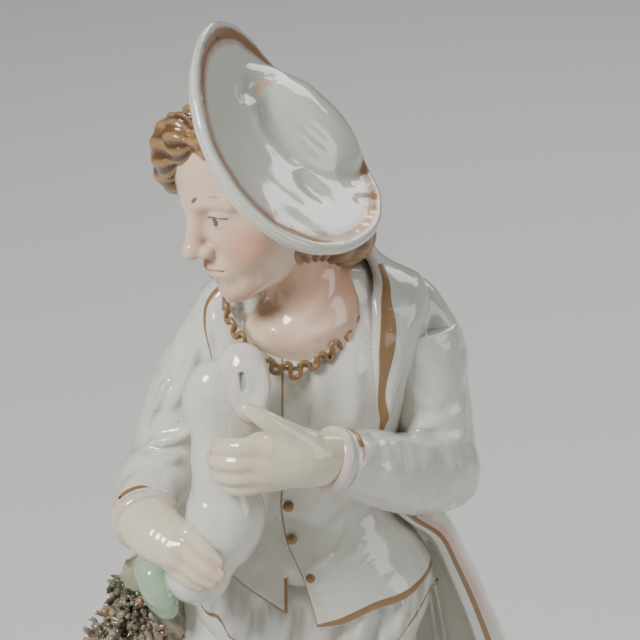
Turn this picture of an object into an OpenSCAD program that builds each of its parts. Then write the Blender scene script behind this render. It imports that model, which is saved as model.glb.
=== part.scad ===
// Standing porcelain figurine: a youth in a long coat and a wide hat who holds a sack.
// Every node is one moulding of the potter's set, luted to its neighbours with slip.
// Millimetres. +Z is up, the figure faces -Y, and the origin is the middle of the base's underside.

/* [Base] */
// Length of the oval base, along X
base_length = 84; // [80:1:92]
// Width of the oval base, along Y
base_width = 68; // [64:1:76]
// Height of the base at its rim, below the mound
base_height = 9; // [8:0.5:10]
// Thickness of the pressed walls around each hollow
wall = 4; // [3:0.5:4.5]
// Diameter of the firing vent through the underside
vent_diameter = 8; // [5:0.5:10]
// Distance of the firing vent from the middle, along X
vent_offset = 16; // [12:1:20]

/* [Hat] */
// Mean radius of the brim
brim_radius = 18.5; // [18:0.5:19.5]
// Half length of the crown's oval, towards the peak
crown_length = 11.5; // [11:0.5:12]
// Half width of the crown's oval
crown_width = 7.5; // [7:0.5:8]
// Height of the crown above the brim
crown_height = 5.4; // [5:0.2:6]

/* [Dress] */
// Thickness of the coat's cloth
cloth = 2; // [1.6:0.1:2.4]
// Diameter of a waistcoat button
button_diameter = 1.8; // [1.4:0.1:2.2]
// Radius of the sack's belly
sack_radius = 6.2; // [5.8:0.1:6.6]

/* [Hidden] */

// Sides of a big form, of a limb and of a finger
big = 24;
mid = 16;
thin = 10;
// Ripples round a modelled rock
ripples = 5;

// Where the figure stands and bends
base_top = base_height + 3.5;
left_hip = [8.5, 2, 92];
left_knee = [9.5, 0, 54];
left_ankle = [9.5, 3, 20];
right_hip = [-7, 1.5, 92];
right_knee = [-8, -5.5, 54];
right_ankle = [-7.5, -2, 20];
left_shoulder = [16.2, 2.2, 143.8];
left_elbow = [21.2, -1.8, 122.6];
left_wrist = [4.9, -21.6, 135];
right_shoulder = [-11.8, 2.2, 144.2];
right_elbow = [-20.2, -3, 123.8];
right_wrist = [-23.2, -16.4, 122.8];
head_centre = [-5, -4, 171];

// The head's own axes: up through the skull, towards the nose, and towards its left ear
head_up = unit([-0.3, 0.05, 0.95]);
face_way = square_to([-0.82, -0.57, -0.22], head_up);
ear_way = cross(head_up, face_way);

// The hat sits back on the left of the skull, and hat_front points at its cocked peak
hat_up = unit([0.62, -0.27, 0.74]);
hat_front = square_to([-0.76, 0.02, 0.65], hat_up);
hat_side = cross(hat_up, hat_front);
hat_centre = [-3, -4, 178];

// ---------------------------------------------------------------- vectors and surfaces
function unit(v) = v / norm(v);
function mix(a, b, t) = a + (b - a) * t;

// The unit vector nearest to v that is square to the unit vector n
function square_to(v, n) = unit(v - n * (v * n));

// A ring of points about c: half sizes rx along u and ry along v
function ring(c, u, v, rx, ry, sides, wave = 0, turn = 0) = [
    for (i = [0 : sides - 1])
        let (a = 360 * i / sides, w = 1 + wave * sin(ripples * a + turn))
            c + u * rx * w * cos(a) + v * ry * w * sin(a)
];

// The tangent of a path of stations [point, rx, ry] at station i
function tangent(stations, i) =
    let (last = len(stations) - 1)
        unit(stations[min(i + 1, last)][0] - stations[max(i - 1, 0)][0]);

// Triangles between equal rings, closed by a fan at each end
function skin_faces(rings, n) = concat(
    [for (k = [0 : rings - 2], i = [0 : n - 1], half = [0, 1])
        let (a = k * n + i, b = k * n + (i + 1) % n)
            half == 0 ? [a, a + n, b + n] : [a, b + n, b]],
    [for (i = [1 : n - 2]) [0, i, i + 1]],
    [for (i = [1 : n - 2]) let (o = (rings - 1) * n) [o, o + i + 1, o + i]]
);

// A solid through a list of equal rings
module skin(rings) {
    n = len(rings[0]);
    polyhedron([for (r = rings, p = r) p], skin_faces(len(rings), n));
}

// A solid of level rings: each level is [z, x, y, rx, ry, wave, turn]
module stack(levels, sides = big)
    skin([for (l = levels)
        ring([l[1], l[2], l[0]], [1, 0, 0], [0, 1, 0], l[3], l[4], sides,
             is_undef(l[5]) ? 0 : l[5], is_undef(l[6]) ? 0 : l[6])]);

// A limb through stations [point, rx, ry]; ref is the way that the rx axis turns away from
module limb(stations, ref = [0, 0, 1], sides = mid, start_dome = 0.6, end_dome = 0.6) {
    last = len(stations) - 1;
    function at(i, slide, size) =
        let (t = tangent(stations, i), u = unit(cross(ref, t)), v = cross(t, u), s = stations[i])
            ring(s[0] + t * slide, u, v, s[1] * size, s[2] * size, sides);
    skin(concat(
        start_dome == 0 ? [] : [for (a = [65, 35])
            at(0, -sin(a) * stations[0][2] * start_dome, cos(a))],
        [for (i = [0 : last]) at(i, 0, 1)],
        end_dome == 0 ? [] : [for (a = [35, 65])
            at(last, sin(a) * stations[last][2] * end_dome, cos(a))]
    ));
}

// A band that closes on itself: one polygon of points for each step round it
module band(sections) {
    s = len(sections);
    n = len(sections[0]);
    polyhedron(
        [for (r = sections, p = r) p],
        [for (k = [0 : s - 1], i = [0 : n - 1], half = [0, 1])
            let (a = k * n + i, b = k * n + (i + 1) % n,
                 c = ((k + 1) % s) * n + i, d = ((k + 1) % s) * n + (i + 1) % n)
                half == 0 ? [a, c, d] : [a, d, b]]
    );
}

// Children become one mesh, so that cuts between freeform surfaces stay closed
module moulding() resize([0, 0, 0]) union() children();

// The first child, cut back to where its neighbours' surfaces are
module luted() moulding() difference() {
    children(0);
    children([1 : $children - 1]);
}

// Children in the head's axes: X to its left ear, Y to its back, Z up
module on_head() multmatrix([
    for (r = [0 : 2]) [ear_way[r], -face_way[r], head_up[r], head_centre[r]]
]) children();

// Children in the hat's axes: Z up through the crown
module on_hat() multmatrix([
    for (r = [0 : 2]) [hat_front[r], hat_side[r], hat_up[r], hat_centre[r]]
]) children();

// ---------------------------------------------------------------- base and support
// [z, x, y, rx, ry, wave, turn] of the mound at a share of its outline
function base_level(z, share, turn = 0) =
    [z, 0, 0, base_length / 2 * share, base_width / 2 * share, 0.025, turn];

module base_form() stack([
    base_level(0, 0.95), base_level(2, 0.975), base_level(base_height * 0.6, 0.96),
    base_level(base_height, 0.9, 20), base_level(base_height + 2, 0.72, 30),
    base_level(base_top, 0.42, 40)
], 32);

module base_hollow() stack([
    for (l = [[wall, 0.8], [base_height - 1, 0.68], [base_top - wall, 0.4]])
        base_level(l[0], l[1])
], mid);

module base() color("honeydew") difference() {
    base_form();
    base_hollow();
    translate([vent_offset, 0, -1])
        cylinder(d = vent_diameter, h = wall + 2, $fn = 48);
}

stump_levels = [
    [7.5, -24, 6, 15, 13], [18, -25, 6, 12.5, 11], [32, -26, 5, 10.5, 10], [48, -25, 5, 11, 9.5],
    [64, -27, 4, 10, 9], [80, -26, 3, 10.5, 9], [90, -24.5, 1.6, 8, 8], [96, -23.2, 0.4, 6.6, 7],
    [102, -23, -0.6, 5, 5.6], [106, -23, -1.6, 3.2, 3.6]
];

module stump_form() stack([
    for (i = [0 : len(stump_levels) - 1])
        let (l = stump_levels[i])
            concat(l, [0.09, 47 * i])
], big);

module stump_hollow() stack([
    for (l = [for (i = [0 : 6]) stump_levels[i]])
        [l[0] - 1, l[1], l[2], l[3] - wall, l[4] - wall]
], thin);

module rock_stump() color("darkkhaki") luted() {
    stump_form();
    stump_hollow();
    base_form();
    coat_form(cloth);
    breeches_form();
    sack_form();
}

// Height up the stump, angle round it and size of each pressed shred of clay
shreds = [
    [16, 200, 3.4], [24, 250, 3.2], [30, 165, 3.3], [40, 215, 3.4], [47, 268, 3.0], [54, 175, 3.2],
    [62, 228, 3.3], [70, 150, 3.0], [76, 195, 3.2], [84, 250, 3.1], [90, 170, 3.3], [97, 215, 3.2],
    [103, 150, 2.6], [104, 275, 2.4]
];

// Place on the mound and size of each shred that lies there
base_shreds = [
    [-34, -12, 2.8], [-22, -22, 3.0], [-8, -27, 2.6], [28, -16, 2.8], [34, 2, 2.8], [22, 22, 3.0]
];

module mossy_shreds() color("olive") luted() {
    union() {
        for (s = shreds) {
            l = stump_level_at(s[0]);
            translate([l[0] + l[2] * cos(s[1]), l[1] + l[3] * sin(s[1]), s[0]])
                sphere(r = s[2], $fn = 8);
        }
        for (s = base_shreds)
            translate([s[0], s[1], base_height + 1.5])
                sphere(r = s[2], $fn = 8);
    }
    stump_form();
    base_form();
    green_form();
}

// The stump's [x, y, rx, ry] at height z
function stump_level_at(z) = [
    for (k = [1 : 4])
        lookup(z, [for (l = stump_levels) [l[0], l[k]]])
];

module green_form() limb([
    [[-23.4, -5.8, 108.2], 2, 2], [[-22.4, -7.4, 106.8], 2.8, 2.6], [[-21.4, -8.4, 104.4], 2.8, 2.6],
    [[-20.6, -8.9, 102.2], 2.2, 2]
], [0, 1, 0]);

module green_stone() color("darkseagreen") luted() {
    green_form();
    stump_form();
    coat_form(cloth);
    breeches_form();
    sack_form();
}

// ---------------------------------------------------------------- legs
module stocking_form(knee, ankle) limb([
    [knee + [0, 0, 2], 5, 5.2], [mix(knee, ankle, 0.22) + [0, 1.2, 0], 5, 5.6],
    [mix(knee, ankle, 0.4) + [0, 1.4, 0], 4.7, 5.2], [mix(knee, ankle, 0.75), 3.2, 3.5],
    [ankle, 2.9, 3.2], [ankle - [0, 0.5, 5], 3.4, 4]
], [0, 1, 0], mid, 0, 0);

module left_stocking() color("ivory") luted() {
    stocking_form(left_knee, left_ankle);
    left_shoe_form();
    breeches_form();
}

module right_stocking() color("ivory") luted() {
    stocking_form(right_knee, right_ankle);
    right_shoe_form();
    breeches_form();
}

// A shoe: heel at the ankle and toe along way, standing on the mound
module shoe_form(ankle, way) {
    floor = base_top - 1.5;
    limb([
        for (s = [[-4, 2.8, 4.2], [-1, 3.5, 4.8], [4, 3.6, 4.3], [9, 3.9, 3.2], [13, 3.2, 2.2]])
            [[ankle[0], ankle[1], floor + s[2] - 0.2] + way * s[0], s[1], s[2]]
    ], [0, 0, 1], mid, 0.7, 0.7);
}

module left_shoe_form() shoe_form(left_ankle, unit([0.35, -1, 0]));
module right_shoe_form() shoe_form(right_ankle, unit([-0.3, -1, 0]));

module left_shoe() color("saddlebrown") luted() {
    left_shoe_form();
    base_form();
}

module right_shoe() color("saddlebrown") luted() {
    right_shoe_form();
    base_form();
}

// A square frame across each instep
module shoe_buckles() color("gold")
    for (s = [[left_ankle, 19], [right_ankle, -17]])
        translate([s[0][0], s[0][1], base_top + 5.6])
            rotate([0, 0, s[1]])
                translate([0, -6.6, 0])
                    rotate([24, 0, 0])
                        difference() {
                            cube([5, 4, 1.2], center = true);
                            cube([3, 2.2, 3], center = true);
                        }

// ---------------------------------------------------------------- breeches
module thigh_form(hip, knee) limb([
    [hip + [0, 0, 4], 8.2, 9.2], [mix(hip, knee, 0.2), 8.2, 9], [mix(hip, knee, 0.5), 7.2, 7.8],
    [mix(hip, knee, 0.85), 5.8, 6.3], [knee, 5.7, 6.2], [knee - [0, 0, 2.5], 5.4, 5.8]
], [0, 1, 0], mid, 0, 0);

module breeches_form() union() {
    stack([
        [84, 0.5, 1.5, 9, 8], [88, 0.5, 1, 14.5, 11], [95, 0.5, 0.5, 16, 12.2], [101, 0.5, 0.5, 15.5, 12],
        [106, 0.5, 0.5, 14, 10.5]
    ]);
    thigh_form(left_hip, left_knee);
    thigh_form(right_hip, right_knee);
}

module breeches() color("whitesmoke") luted() {
    breeches_form();
    stack([[92, 0.5, 0.5, 8, 5], [98, 0.5, 0.5, 11, 7.5], [107, 0.5, 0.5, 10, 6.5]], mid);
    translate([0.5, 0.5, 80])
        cylinder(r = 1.5, h = 14, $fn = 16);
}

// ---------------------------------------------------------------- torso and waistcoat
torso_levels = [
    [106, 0.5, 0.5, 13.8, 10.2], [112, 0.5, 0, 13.8, 10.2], [118, 0.5, 0, 13.2, 10.4],
    [126, 0.6, 0, 13, 10.5], [134, 1, 0.1, 14.2, 10.9], [140, 1.3, 0.4, 15.2, 10.8],
    [145, 1.6, 0.8, 15.2, 9.6], [149, 1.8, 1.3, 13.8, 8.2], [152.5, 2, 1.6, 10.6, 6.8]
];

module torso_form() stack(torso_levels);

module torso() color("white") luted() {
    torso_form();
    stack([for (i = [0 : 5]) let (l = torso_levels[i])
        [l[0] - (i == 0 ? 1 : 0), l[1], l[2], l[3] - wall, l[4] - wall]], mid);
    neck_form();
}

// How much more a waistcoat flap flares at the side than in front
side_flare = 1.35;

// A flap of the waistcoat: an upright fan of cloth from angle a0 to a1 round the waist
module flap(a0, a1, top, drop0, drop1, flare) {
    steps = 8;
    skin([for (k = [0 : steps])
        let (a = mix(a0, a1, k / steps), low = top - mix(drop0, drop1, k / steps),
             out = [cos(a), sin(a), 0], c = [0.5, 0.2, 0])
            [for (p = [[0, top], [cloth * 0.7, top], [flare + cloth * 0.7, low], [flare, low]])
                c + [out[0] * (13.4 + side_flare * p[0]), out[1] * (9.9 + p[0]), p[1]]]
    ]);
}

module waistcoat_left_flap() color("white") luted() {
    flap(272, 358, 113, 11, 7, 5);
    torso_form();
    breeches_form();
}

module waistcoat_right_flap() color("white") luted() {
    flap(182, 264, 113, 5, 8, 4.5);
    torso_form();
    breeches_form();
}

// Buttons down the front closing
module waistcoat_buttons() color("goldenrod")
    for (p = [[-1.4, -9.9, 128.6], [-1.8, -9.8, 121.4], [-1.4, -9.6, 116.3], [1.6, -12.4, 110.4]])
        translate(p)
            rotate([90, 0, 0])
                cylinder(d = button_diameter, h = 1.6, $fn = 24);

// ---------------------------------------------------------------- coat
// The coat's surface at a distance from the body: the skirt flares out below the waist
function coat_levels(out) = concat(
    [for (l = [
        [60, 3.2, 7.2, 32, 17.8], [72, 3.1, 6.9, 30.6, 17.2], [86, 3, 6.2, 27.4, 16.2],
        [98, 2.7, 4.8, 24, 14.6], [107, 2.2, 3.6, 20.6, 13], [113, 1.6, 2, 17.4, 11.8]
    ]) [l[0], l[1], l[2], l[3] + out, l[4] + out]],
    [for (i = [2 : len(torso_levels) - 1])
        let (l = torso_levels[i])
            [l[0] + 0.4, l[1], l[2] + 0.3, l[3] + out, l[4] + out]]
);

module coat_form(out) stack(coat_levels(out), 28);

// The part of the coat between two angles about the figure's upright axis
module coat_shell(a0, a1) intersection() {
    difference() {
        coat_form(cloth);
        coat_form(-0.8);
    }
    translate([1.5, 0, 50])
        rotate([0, 0, a0])
            rotate_extrude(angle = a1 - a0, $fn = 32)
                square([70, 110]);
}

module coat_back() color("white") luted() {
    coat_shell(20, 160);
    torso_form();
    neck_form();
}

module coat_left_front() color("white") luted() {
    coat_shell(-44, 20);
    torso_form();
    neck_form();
}

module coat_right_front() color("white") luted() {
    coat_shell(160, 214);
    torso_form();
    neck_form();
    sack_form();
}

// ---------------------------------------------------------------- arms
module left_upper_form() limb([
    [left_shoulder, 6.2, 6.4], [mix(left_shoulder, left_elbow, 0.4) + [1, 0.8, 0], 6.2, 6.4],
    [mix(left_shoulder, left_elbow, 0.75) + [0.6, 0.6, 0], 6.1, 6.1], [left_elbow, 6.1, 6.1]
], [0, 1, 0], mid, 0.9, 0.9);

module left_forearm_form() limb([
    [left_elbow, 6.1, 6.1], [mix(left_elbow, left_wrist, 0.3) + [1.6, 0.2, -1.2], 6, 6.1],
    [mix(left_elbow, left_wrist, 0.65) + [1.8, 0.4, -1], 5.5, 5.6], [left_wrist, 4, 4.1]
], [0, 0, 1], mid, 0, 0);

module right_upper_form() limb([
    [right_shoulder, 5.8, 6.1], [mix(right_shoulder, right_elbow, 0.35) + [-0.6, 0.8, 0], 5.9, 6],
    [mix(right_shoulder, right_elbow, 0.75) + [-0.4, 0.8, 0], 6, 6], [right_elbow, 5.9, 6]
], [0, 1, 0], mid, 0.9, 0.9);

module right_forearm_form() limb([
    [right_elbow, 5.9, 6], [mix(right_elbow, right_wrist, 0.5) + [-0.5, 0, 0], 5.6, 5.6],
    [right_wrist + right_cuff_way * 1.2, 4.5, 4.4]
], [0, 0, 1], mid, 0, 0);

module left_upper_sleeve() color("white") luted() {
    left_upper_form();
    torso_form();
    coat_form(cloth);
}

module left_forearm_sleeve() color("white") luted() {
    left_forearm_form();
    left_upper_form();
    torso_form();
    coat_form(cloth);
    left_hand_form();
}

module right_upper_sleeve() color("white") luted() {
    right_upper_form();
    torso_form();
    coat_form(cloth);
    sack_form();
}

module right_forearm_sleeve() color("white") luted() {
    right_forearm_form();
    right_upper_form();
    torso_form();
    coat_form(cloth);
    stump_form();
    sack_form();
    right_hand_form();
}

// A turned-back cuff: a ring about the sleeve's end, square to way
module cuff_form(wrist, way, rx, ry) limb([
    [wrist - way * 2.6, rx + 0.5, ry + 0.5], [wrist - way * 1.2, rx + 1.2, ry + 1.2],
    [wrist + way * 0.8, rx + 1, ry + 1]
], [0, 0, 1], mid, 0, 0);

left_cuff_way = unit(left_wrist - left_elbow);
right_cuff_way = unit(right_wrist - right_elbow);

module left_cuff() color("white") luted() {
    cuff_form(left_wrist, left_cuff_way, 4, 4.1);
    left_forearm_form();
    left_hand_form();
    torso_form();
}

module right_cuff() color("white") luted() {
    cuff_form(right_wrist, right_cuff_way, 5, 4.9);
    right_forearm_form();
}

// A finger from its knuckle through its joints, with the radius at each
module finger(points, r) limb([
    for (i = [0 : len(points) - 1])
        [points[i], r * (1 - 0.08 * i), r * (1 - 0.08 * i)]
], [0.2, 0.1, 1], thin);

module left_hand_form() union() {
    limb([
        [left_wrist - left_cuff_way * 1.5, 3.2, 3.6], [[3.4, -23, 135.8], 3.1, 4.1],
        [[0.2, -25.4, 136.8], 2.9, 4.7], [[-4.4, -26.6, 137.2], 2.5, 4.7]
    ], [0, 0, 1], mid, 0, 0.6);
    for (i = [0 : 3])
        finger([[-4.6, -27.4, 140.1 - 1.9 * i],
                [-8.6, -28.3, 140.3 - 2.1 * i],
                [-11.5, -26, 139.4 - 1.9 * i]], 1.45);
    finger([[0.8, -25.2, 139.6], [-3, -26.8, 143], [-7, -26.8, 145.4]], 1.7);
}

module right_hand_form() union() {
    limb([
        [right_wrist - right_cuff_way * 1.5, 3.7, 3.5], [[-22.4, -18, 122.6], 4.3, 3.6],
        [[-20.4, -21.4, 122.2], 4.5, 3], [[-17.4, -24.2, 121.6], 4.4, 2.6]
    ], [0, 0, 1], mid, 0, 0.6);
    for (i = [0 : 3])
        finger([[-16.4 - 0.9 * i, -24.8, 124 - 1.5 * i],
                [-13.8 - 0.8 * i, -26.8, 121.9 - 1.4 * i],
                [-12 - 0.8 * i, -27, 120.2 - 1.1 * i]], 1.45);
}

module left_hand() color("antiquewhite") luted() {
    left_hand_form();
    sack_form();
    mouth_form();
    torso_form();
}

module right_hand() color("antiquewhite") luted() {
    right_hand_form();
    sack_form();
}

// ---------------------------------------------------------------- sack
module sack_form() limb([
    [[-15.2, -19.4, 113.5], sack_radius * 0.7, 4.2], [[-14.4, -19.4, 117], sack_radius * 0.84, 5],
    [[-12, -19.5, 121.5], sack_radius, 6.2], [[-10.9, -19.6, 126], sack_radius * 0.96, 6.1],
    [[-11.3, -19, 132], sack_radius * 0.8, 5.3], [[-11.6, -18.4, 137], sack_radius * 0.82, 4.9],
    [[-11.6, -17.4, 142.4], sack_radius * 0.84, 4.6], [[-11.4, -17, 146.2], sack_radius * 0.56, 3.2]
], [0, 1, 0], mid);

// The gathered mouth: a lobe of cloth that stands up beside the closed throat
module mouth_form() limb([
    [[-8.4, -20.8, 140.2], 2.6, 1.8], [[-7.6, -20.4, 143.4], 3.2, 1.8], [[-7.2, -19.8, 147], 3.1, 1.6],
    [[-7, -19, 150], 2.1, 1.3]
], [0, 1, 0], mid);

module sack() color("white") luted() {
    sack_form();
    torso_form();
    breeches_form();
}

module sack_mouth() color("mistyrose") luted() {
    mouth_form();
    sack_form();
    torso_form();
    frill_form();
    neck_form();
}

// ---------------------------------------------------------------- neck, head and hair
module neck_form() limb([
    [[2.2, -1.4, 143], 6.5, 6.8], [[1.5, -2, 147], 8.4, 7.8], [[1, -2.2, 151.5], 7.4, 7.2],
    [[0.2, -2.4, 156], 6.2, 6.2], [[-1.6, -3, 161], 6, 6], [[-3, -3.4, 166], 5.8, 6]
], [0, 1, 0], mid, 0.3, 0);

module neck() color("peachpuff") luted() {
    neck_form();
    head_form();
}

// A frill about the neckline: a rope of small waves that dips at the breast
module frill_form() {
    steps = 44;
    band([for (k = [0 : steps - 1])
        let (a = 360 * k / steps, front = (1 - sin(a)) / 2,
             c = [-0.9 + 9.7 * cos(a), -3 + (8.6 + 0.4 * sin(9 * a)) * sin(a),
                  155.6 - 10.2 * pow(front, 1.5)],
             out = [cos(a), sin(a), 0.35], r = 1 + 0.25 * sin(a * 11))
            [for (b = [0, 72, 144, 216, 288])
                c + out * r * cos(b) * 0.9 + [0, 0, 1] * r * sin(b) * 0.8]
    ]);
}

module neck_frill() color("goldenrod") luted() {
    frill_form();
    neck_form();
    head_form();
    torso_form();
    coat_shell(-44, 214);
}

// Rings up the skull, in the head's axes: [height, backward shift, half width, half depth]
skull = [
    [-15.5, -8.6, 3.4, 3], [-14, -7.4, 5.6, 5], [-11, -5.6, 7.6, 7.4], [-7, -3.6, 9, 9.6],
    [-2, -1.4, 10, 11.6], [3, 0, 10.6, 13], [8, 0.6, 10.4, 12.8], [12, 1, 8.6, 10.6], [14.5, 1.2, 5.6, 7]
];

module head_form() on_head() union() {
    skin([for (l = skull)
        ring([0, l[1], l[0]], [1, 0, 0], [0, 1, 0], l[2], l[3], big)]);
    limb([[[0, -11.6, 2], 1, 1.2], [[0, -13.4, -2.4], 1.6, 1.8], [[0, -13.2, -4.4], 1.9, 1.6]],
         [0, 1, 0], thin);
}

module head() color("peachpuff") luted() {
    head_form();
    above_brim();
}

// The cropped hair over the back and sides of the skull
module hair_mass() on_head() skin([
    for (l = [
        [-13, 9.5, 6, 3], [-10, 9.5, 8.8, 4.4], [-6, 6.4, 10.6, 8], [0, 4.4, 11.6, 10.6],
        [7, 3.6, 11.6, 11.4], [12, 3.2, 9.4, 9.6], [15.6, 2.8, 5, 6]
    ])
        ring([0, l[1], l[0]], [1, 0, 0], [0, 1, 0], l[2], l[3], big)
]);

module hair_back() color("sienna") luted() {
    hair_mass();
    head_form();
    neck_form();
    above_brim();
}

// Rolled curls over the forehead and at the right temple
module curls_form() on_head() union() {
    limb([[[-7, -9.6, 10.5], 2.6, 2.6], [[-2.5, -11.2, 12], 3, 2.8], [[3, -11, 12], 2.6, 2.6]],
         [0, 0, 1], thin);
    limb([[[-9.6, -6, 9.4], 2.4, 2.6], [[-11, -4, 5], 2.6, 3], [[-11, -3, 0.5], 2.2, 2.6]],
         [0, 1, 0], thin);
}

module hair_front_curls() color("sienna") luted() {
    curls_form();
    head_form();
    hair_mass();
    above_brim();
}

// ---------------------------------------------------------------- hat
module crown_form() on_hat() skin([
    for (l = [[0, 1], [0.3, 0.98], [0.55, 0.9], [0.78, 0.75], [0.93, 0.52], [1, 0.3]])
        ring([-2, -5.6, crown_height * l[0]], [1, 0, 0], [0, 1, 0],
             crown_length * l[1], crown_width * l[1], big)
]);

// Radius of the brim's edge at an angle from the peak, and how far the edge lifts there
function brim_edge(a) = brim_radius + 3.4 * sin(a);
function brim_lift(a) = 1.6 + 2.6 * cos(a) + 2.25 * cos(2 * a) + 1.6 * sin(a);

// A ring of the brim at a share of its radius, raised by height
function brim_ring(share, height) = [
    for (a = [0 : 10 : 350])
        [brim_edge(a) * share * cos(a), brim_edge(a) * share * sin(a), brim_lift(a) * pow(share, 2) + height]
];

brim_thickness = 2;
brim_shares = [0.3, 0.6, 0.8, 0.96];

// All the space above the underside of the brim
module above_brim() on_hat() skin(concat(
    [for (s = concat(brim_shares, [1.4])) brim_ring(s, -brim_thickness / 2)],
    [brim_ring(1.4, 40)]
));

// The brim: a sheet that turns up at the peak and at the back, with a rounded edge
module brim_form() on_hat() skin(concat(
    [for (s = brim_shares) brim_ring(s, -brim_thickness / 2)],
    [brim_ring(1, 0)],
    [for (i = [3 : -1 : 0]) brim_ring(brim_shares[i], brim_thickness / 2)]
));

module hat_crown() color("white") luted() {
    crown_form();
    brim_form();
}

module hat_brim() color("white") moulding() brim_form();

base();
rock_stump();
mossy_shreds();
green_stone();
left_shoe();
right_shoe();
shoe_buckles();
left_stocking();
right_stocking();
breeches();
torso();
waistcoat_left_flap();
waistcoat_right_flap();
waistcoat_buttons();
coat_back();
coat_left_front();
coat_right_front();
left_upper_sleeve();
left_forearm_sleeve();
left_cuff();
left_hand();
right_upper_sleeve();
right_forearm_sleeve();
right_cuff();
right_hand();
neck();
neck_frill();
head();
hair_back();
hair_front_curls();
hat_crown();
hat_brim();
sack();
sack_mouth();
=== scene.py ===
"""A glazed porcelain figurine: every moulding is sculpted as a distance field and skinned.

All fields are in millimetres in the frame's own axes; meshes are scaled to metres at the end.
"""
import math
from concurrent.futures import ThreadPoolExecutor

import bpy
import numpy as np
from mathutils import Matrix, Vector


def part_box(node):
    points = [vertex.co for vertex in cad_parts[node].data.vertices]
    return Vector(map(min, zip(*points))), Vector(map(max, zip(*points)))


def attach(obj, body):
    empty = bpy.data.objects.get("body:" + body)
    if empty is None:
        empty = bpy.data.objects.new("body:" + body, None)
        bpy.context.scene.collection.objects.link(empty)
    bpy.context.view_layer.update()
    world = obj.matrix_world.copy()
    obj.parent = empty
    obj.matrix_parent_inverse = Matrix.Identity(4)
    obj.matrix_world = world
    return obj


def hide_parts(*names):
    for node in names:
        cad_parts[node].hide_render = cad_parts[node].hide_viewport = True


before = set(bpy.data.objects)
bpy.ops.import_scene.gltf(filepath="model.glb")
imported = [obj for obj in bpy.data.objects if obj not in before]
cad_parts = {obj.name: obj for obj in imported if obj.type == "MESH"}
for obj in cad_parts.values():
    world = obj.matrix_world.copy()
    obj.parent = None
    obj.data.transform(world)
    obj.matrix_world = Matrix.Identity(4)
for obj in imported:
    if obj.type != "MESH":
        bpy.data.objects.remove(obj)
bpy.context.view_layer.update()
METRE = 0.001
# Cells along the side of a block of the grid, and the cell sizes of small, middling and big mouldings
BLOCK = 8
FINE = 0.24
MIDDLE = 0.36
COARSE = 0.55
WORKERS = 4


# ---------------------------------------------------------------- vectors and simple fields
def vec(*v):
    return np.array(v, np.float32)


def unit(v):
    v = np.asarray(v, np.float32)
    return v / np.linalg.norm(v)


def square_to(v, n):
    """The unit vector nearest to v that is square to n."""
    v = np.asarray(v, np.float32)
    return unit(v - n * float(v @ n))


def length(v):
    return np.sqrt(np.einsum("ij,ij->i", v, v))


def ramp(x, low, high):
    """0 below low, 1 above high, and smooth between."""
    t = np.clip((x - low) / (high - low), 0, 1)
    return t * t * (3 - 2 * t)


def blend(a, b, k=1.0):
    """Union with a fillet of about k."""
    h = np.maximum(k - np.abs(a - b), 0) / k
    return np.minimum(a, b) - h * h * k * 0.25


def meet(a, b, k=0.5):
    """Intersection with a rounded edge."""
    return -blend(-a, -b, k)


def carve(a, b, k=0.6):
    """a with b taken away."""
    return -blend(-a, b, k)


def oval(p, centre, radii, axes=None):
    """An ellipsoid; the rows of axes are its own axes."""
    q = p - vec(*centre)
    if axes is not None:
        q = q @ axes.T
    radii = vec(*radii)
    k0 = length(q / radii)
    k1 = length(q / (radii * radii))
    return k0 * (k0 - 1) / np.maximum(k1, 1e-5)


def rod(p, a, b, ra, rb=None):
    """A capsule from a to b, with a radius at each end."""
    a = vec(*a)
    ab = vec(*b) - a
    q = p - a
    t = np.clip(q @ ab / float(ab @ ab), 0, 1)
    r = ra if rb is None else ra + (rb - ra) * t
    return length(q - t[:, None] * ab) - r


def smooth_path(points, steps=6):
    """Points along a Catmull-Rom curve through the given rows, columns of any kind."""
    pts = np.asarray(points, np.float32)
    ends = np.vstack([2 * pts[0] - pts[1], pts, 2 * pts[-1] - pts[-2]])
    rows = []
    for i in range(len(pts) - 1):
        a, b, c, d = ends[i:i + 4]
        for t in np.arange(steps) / steps:
            rows.append(0.5 * (2 * b + (c - a) * t + (2 * a - 5 * b + 4 * c - d) * t * t
                               + (3 * b - a - 3 * c + d) * t ** 3))
    return np.array(rows + [pts[-1]], np.float32)


def limb(p, stations, steps=4, flat=None):
    """A tube through stations (x, y, z, radius); flat=(axis, squash) makes it thinner one way."""
    path = smooth_path(stations, steps)
    q = p
    if flat is not None:
        axis, squash = unit(flat[0]), flat[1]
        middle = path[:, :3].mean(0)
        q = p + ((p - middle) @ axis)[:, None] * axis * (squash - 1)
        path = path.copy()
        path[:, :3] += ((path[:, :3] - middle) @ axis)[:, None] * axis * (squash - 1)
    best = None
    for a, b in zip(path[:-1], path[1:]):
        d = rod(q, a[:3], b[:3], float(a[3]), float(b[3]))
        best = d if best is None else np.minimum(best, d)
    return best


def path_distance(p, points, steps=6):
    """Distance to a curve through points, and how far along it the nearest place is (0 to 1)."""
    path = smooth_path(points, steps)
    best = np.full(len(p), 1e6, np.float32)
    along = np.zeros(len(p), np.float32)
    n = len(path) - 1
    for i in range(n):
        a, ab = path[i], path[i + 1] - path[i]
        q = p - a
        t = np.clip(q @ ab / max(float(ab @ ab), 1e-9), 0, 1)
        d = length(q - t[:, None] * ab)
        nearer = d < best
        best[nearer] = d[nearer]
        along[nearer] = (i + t[nearer]) / n
    return best, along


def fold(p, points, width, height, steps=3):
    """Height of a soft fold of cloth along a curve, fading out at both ends."""
    d, along = path_distance(p, points, steps)
    fade = np.clip(4.4 * along * (1 - along), 0, 1)
    return height * fade * np.exp(-(d / width) ** 2)


def folds(p, rows):
    """The sum of folds, each row being (points, width, height)."""
    total = np.zeros(len(p), np.float32)
    for points, width, height in rows:
        total += fold(p, points, width, height)
    return total


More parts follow.
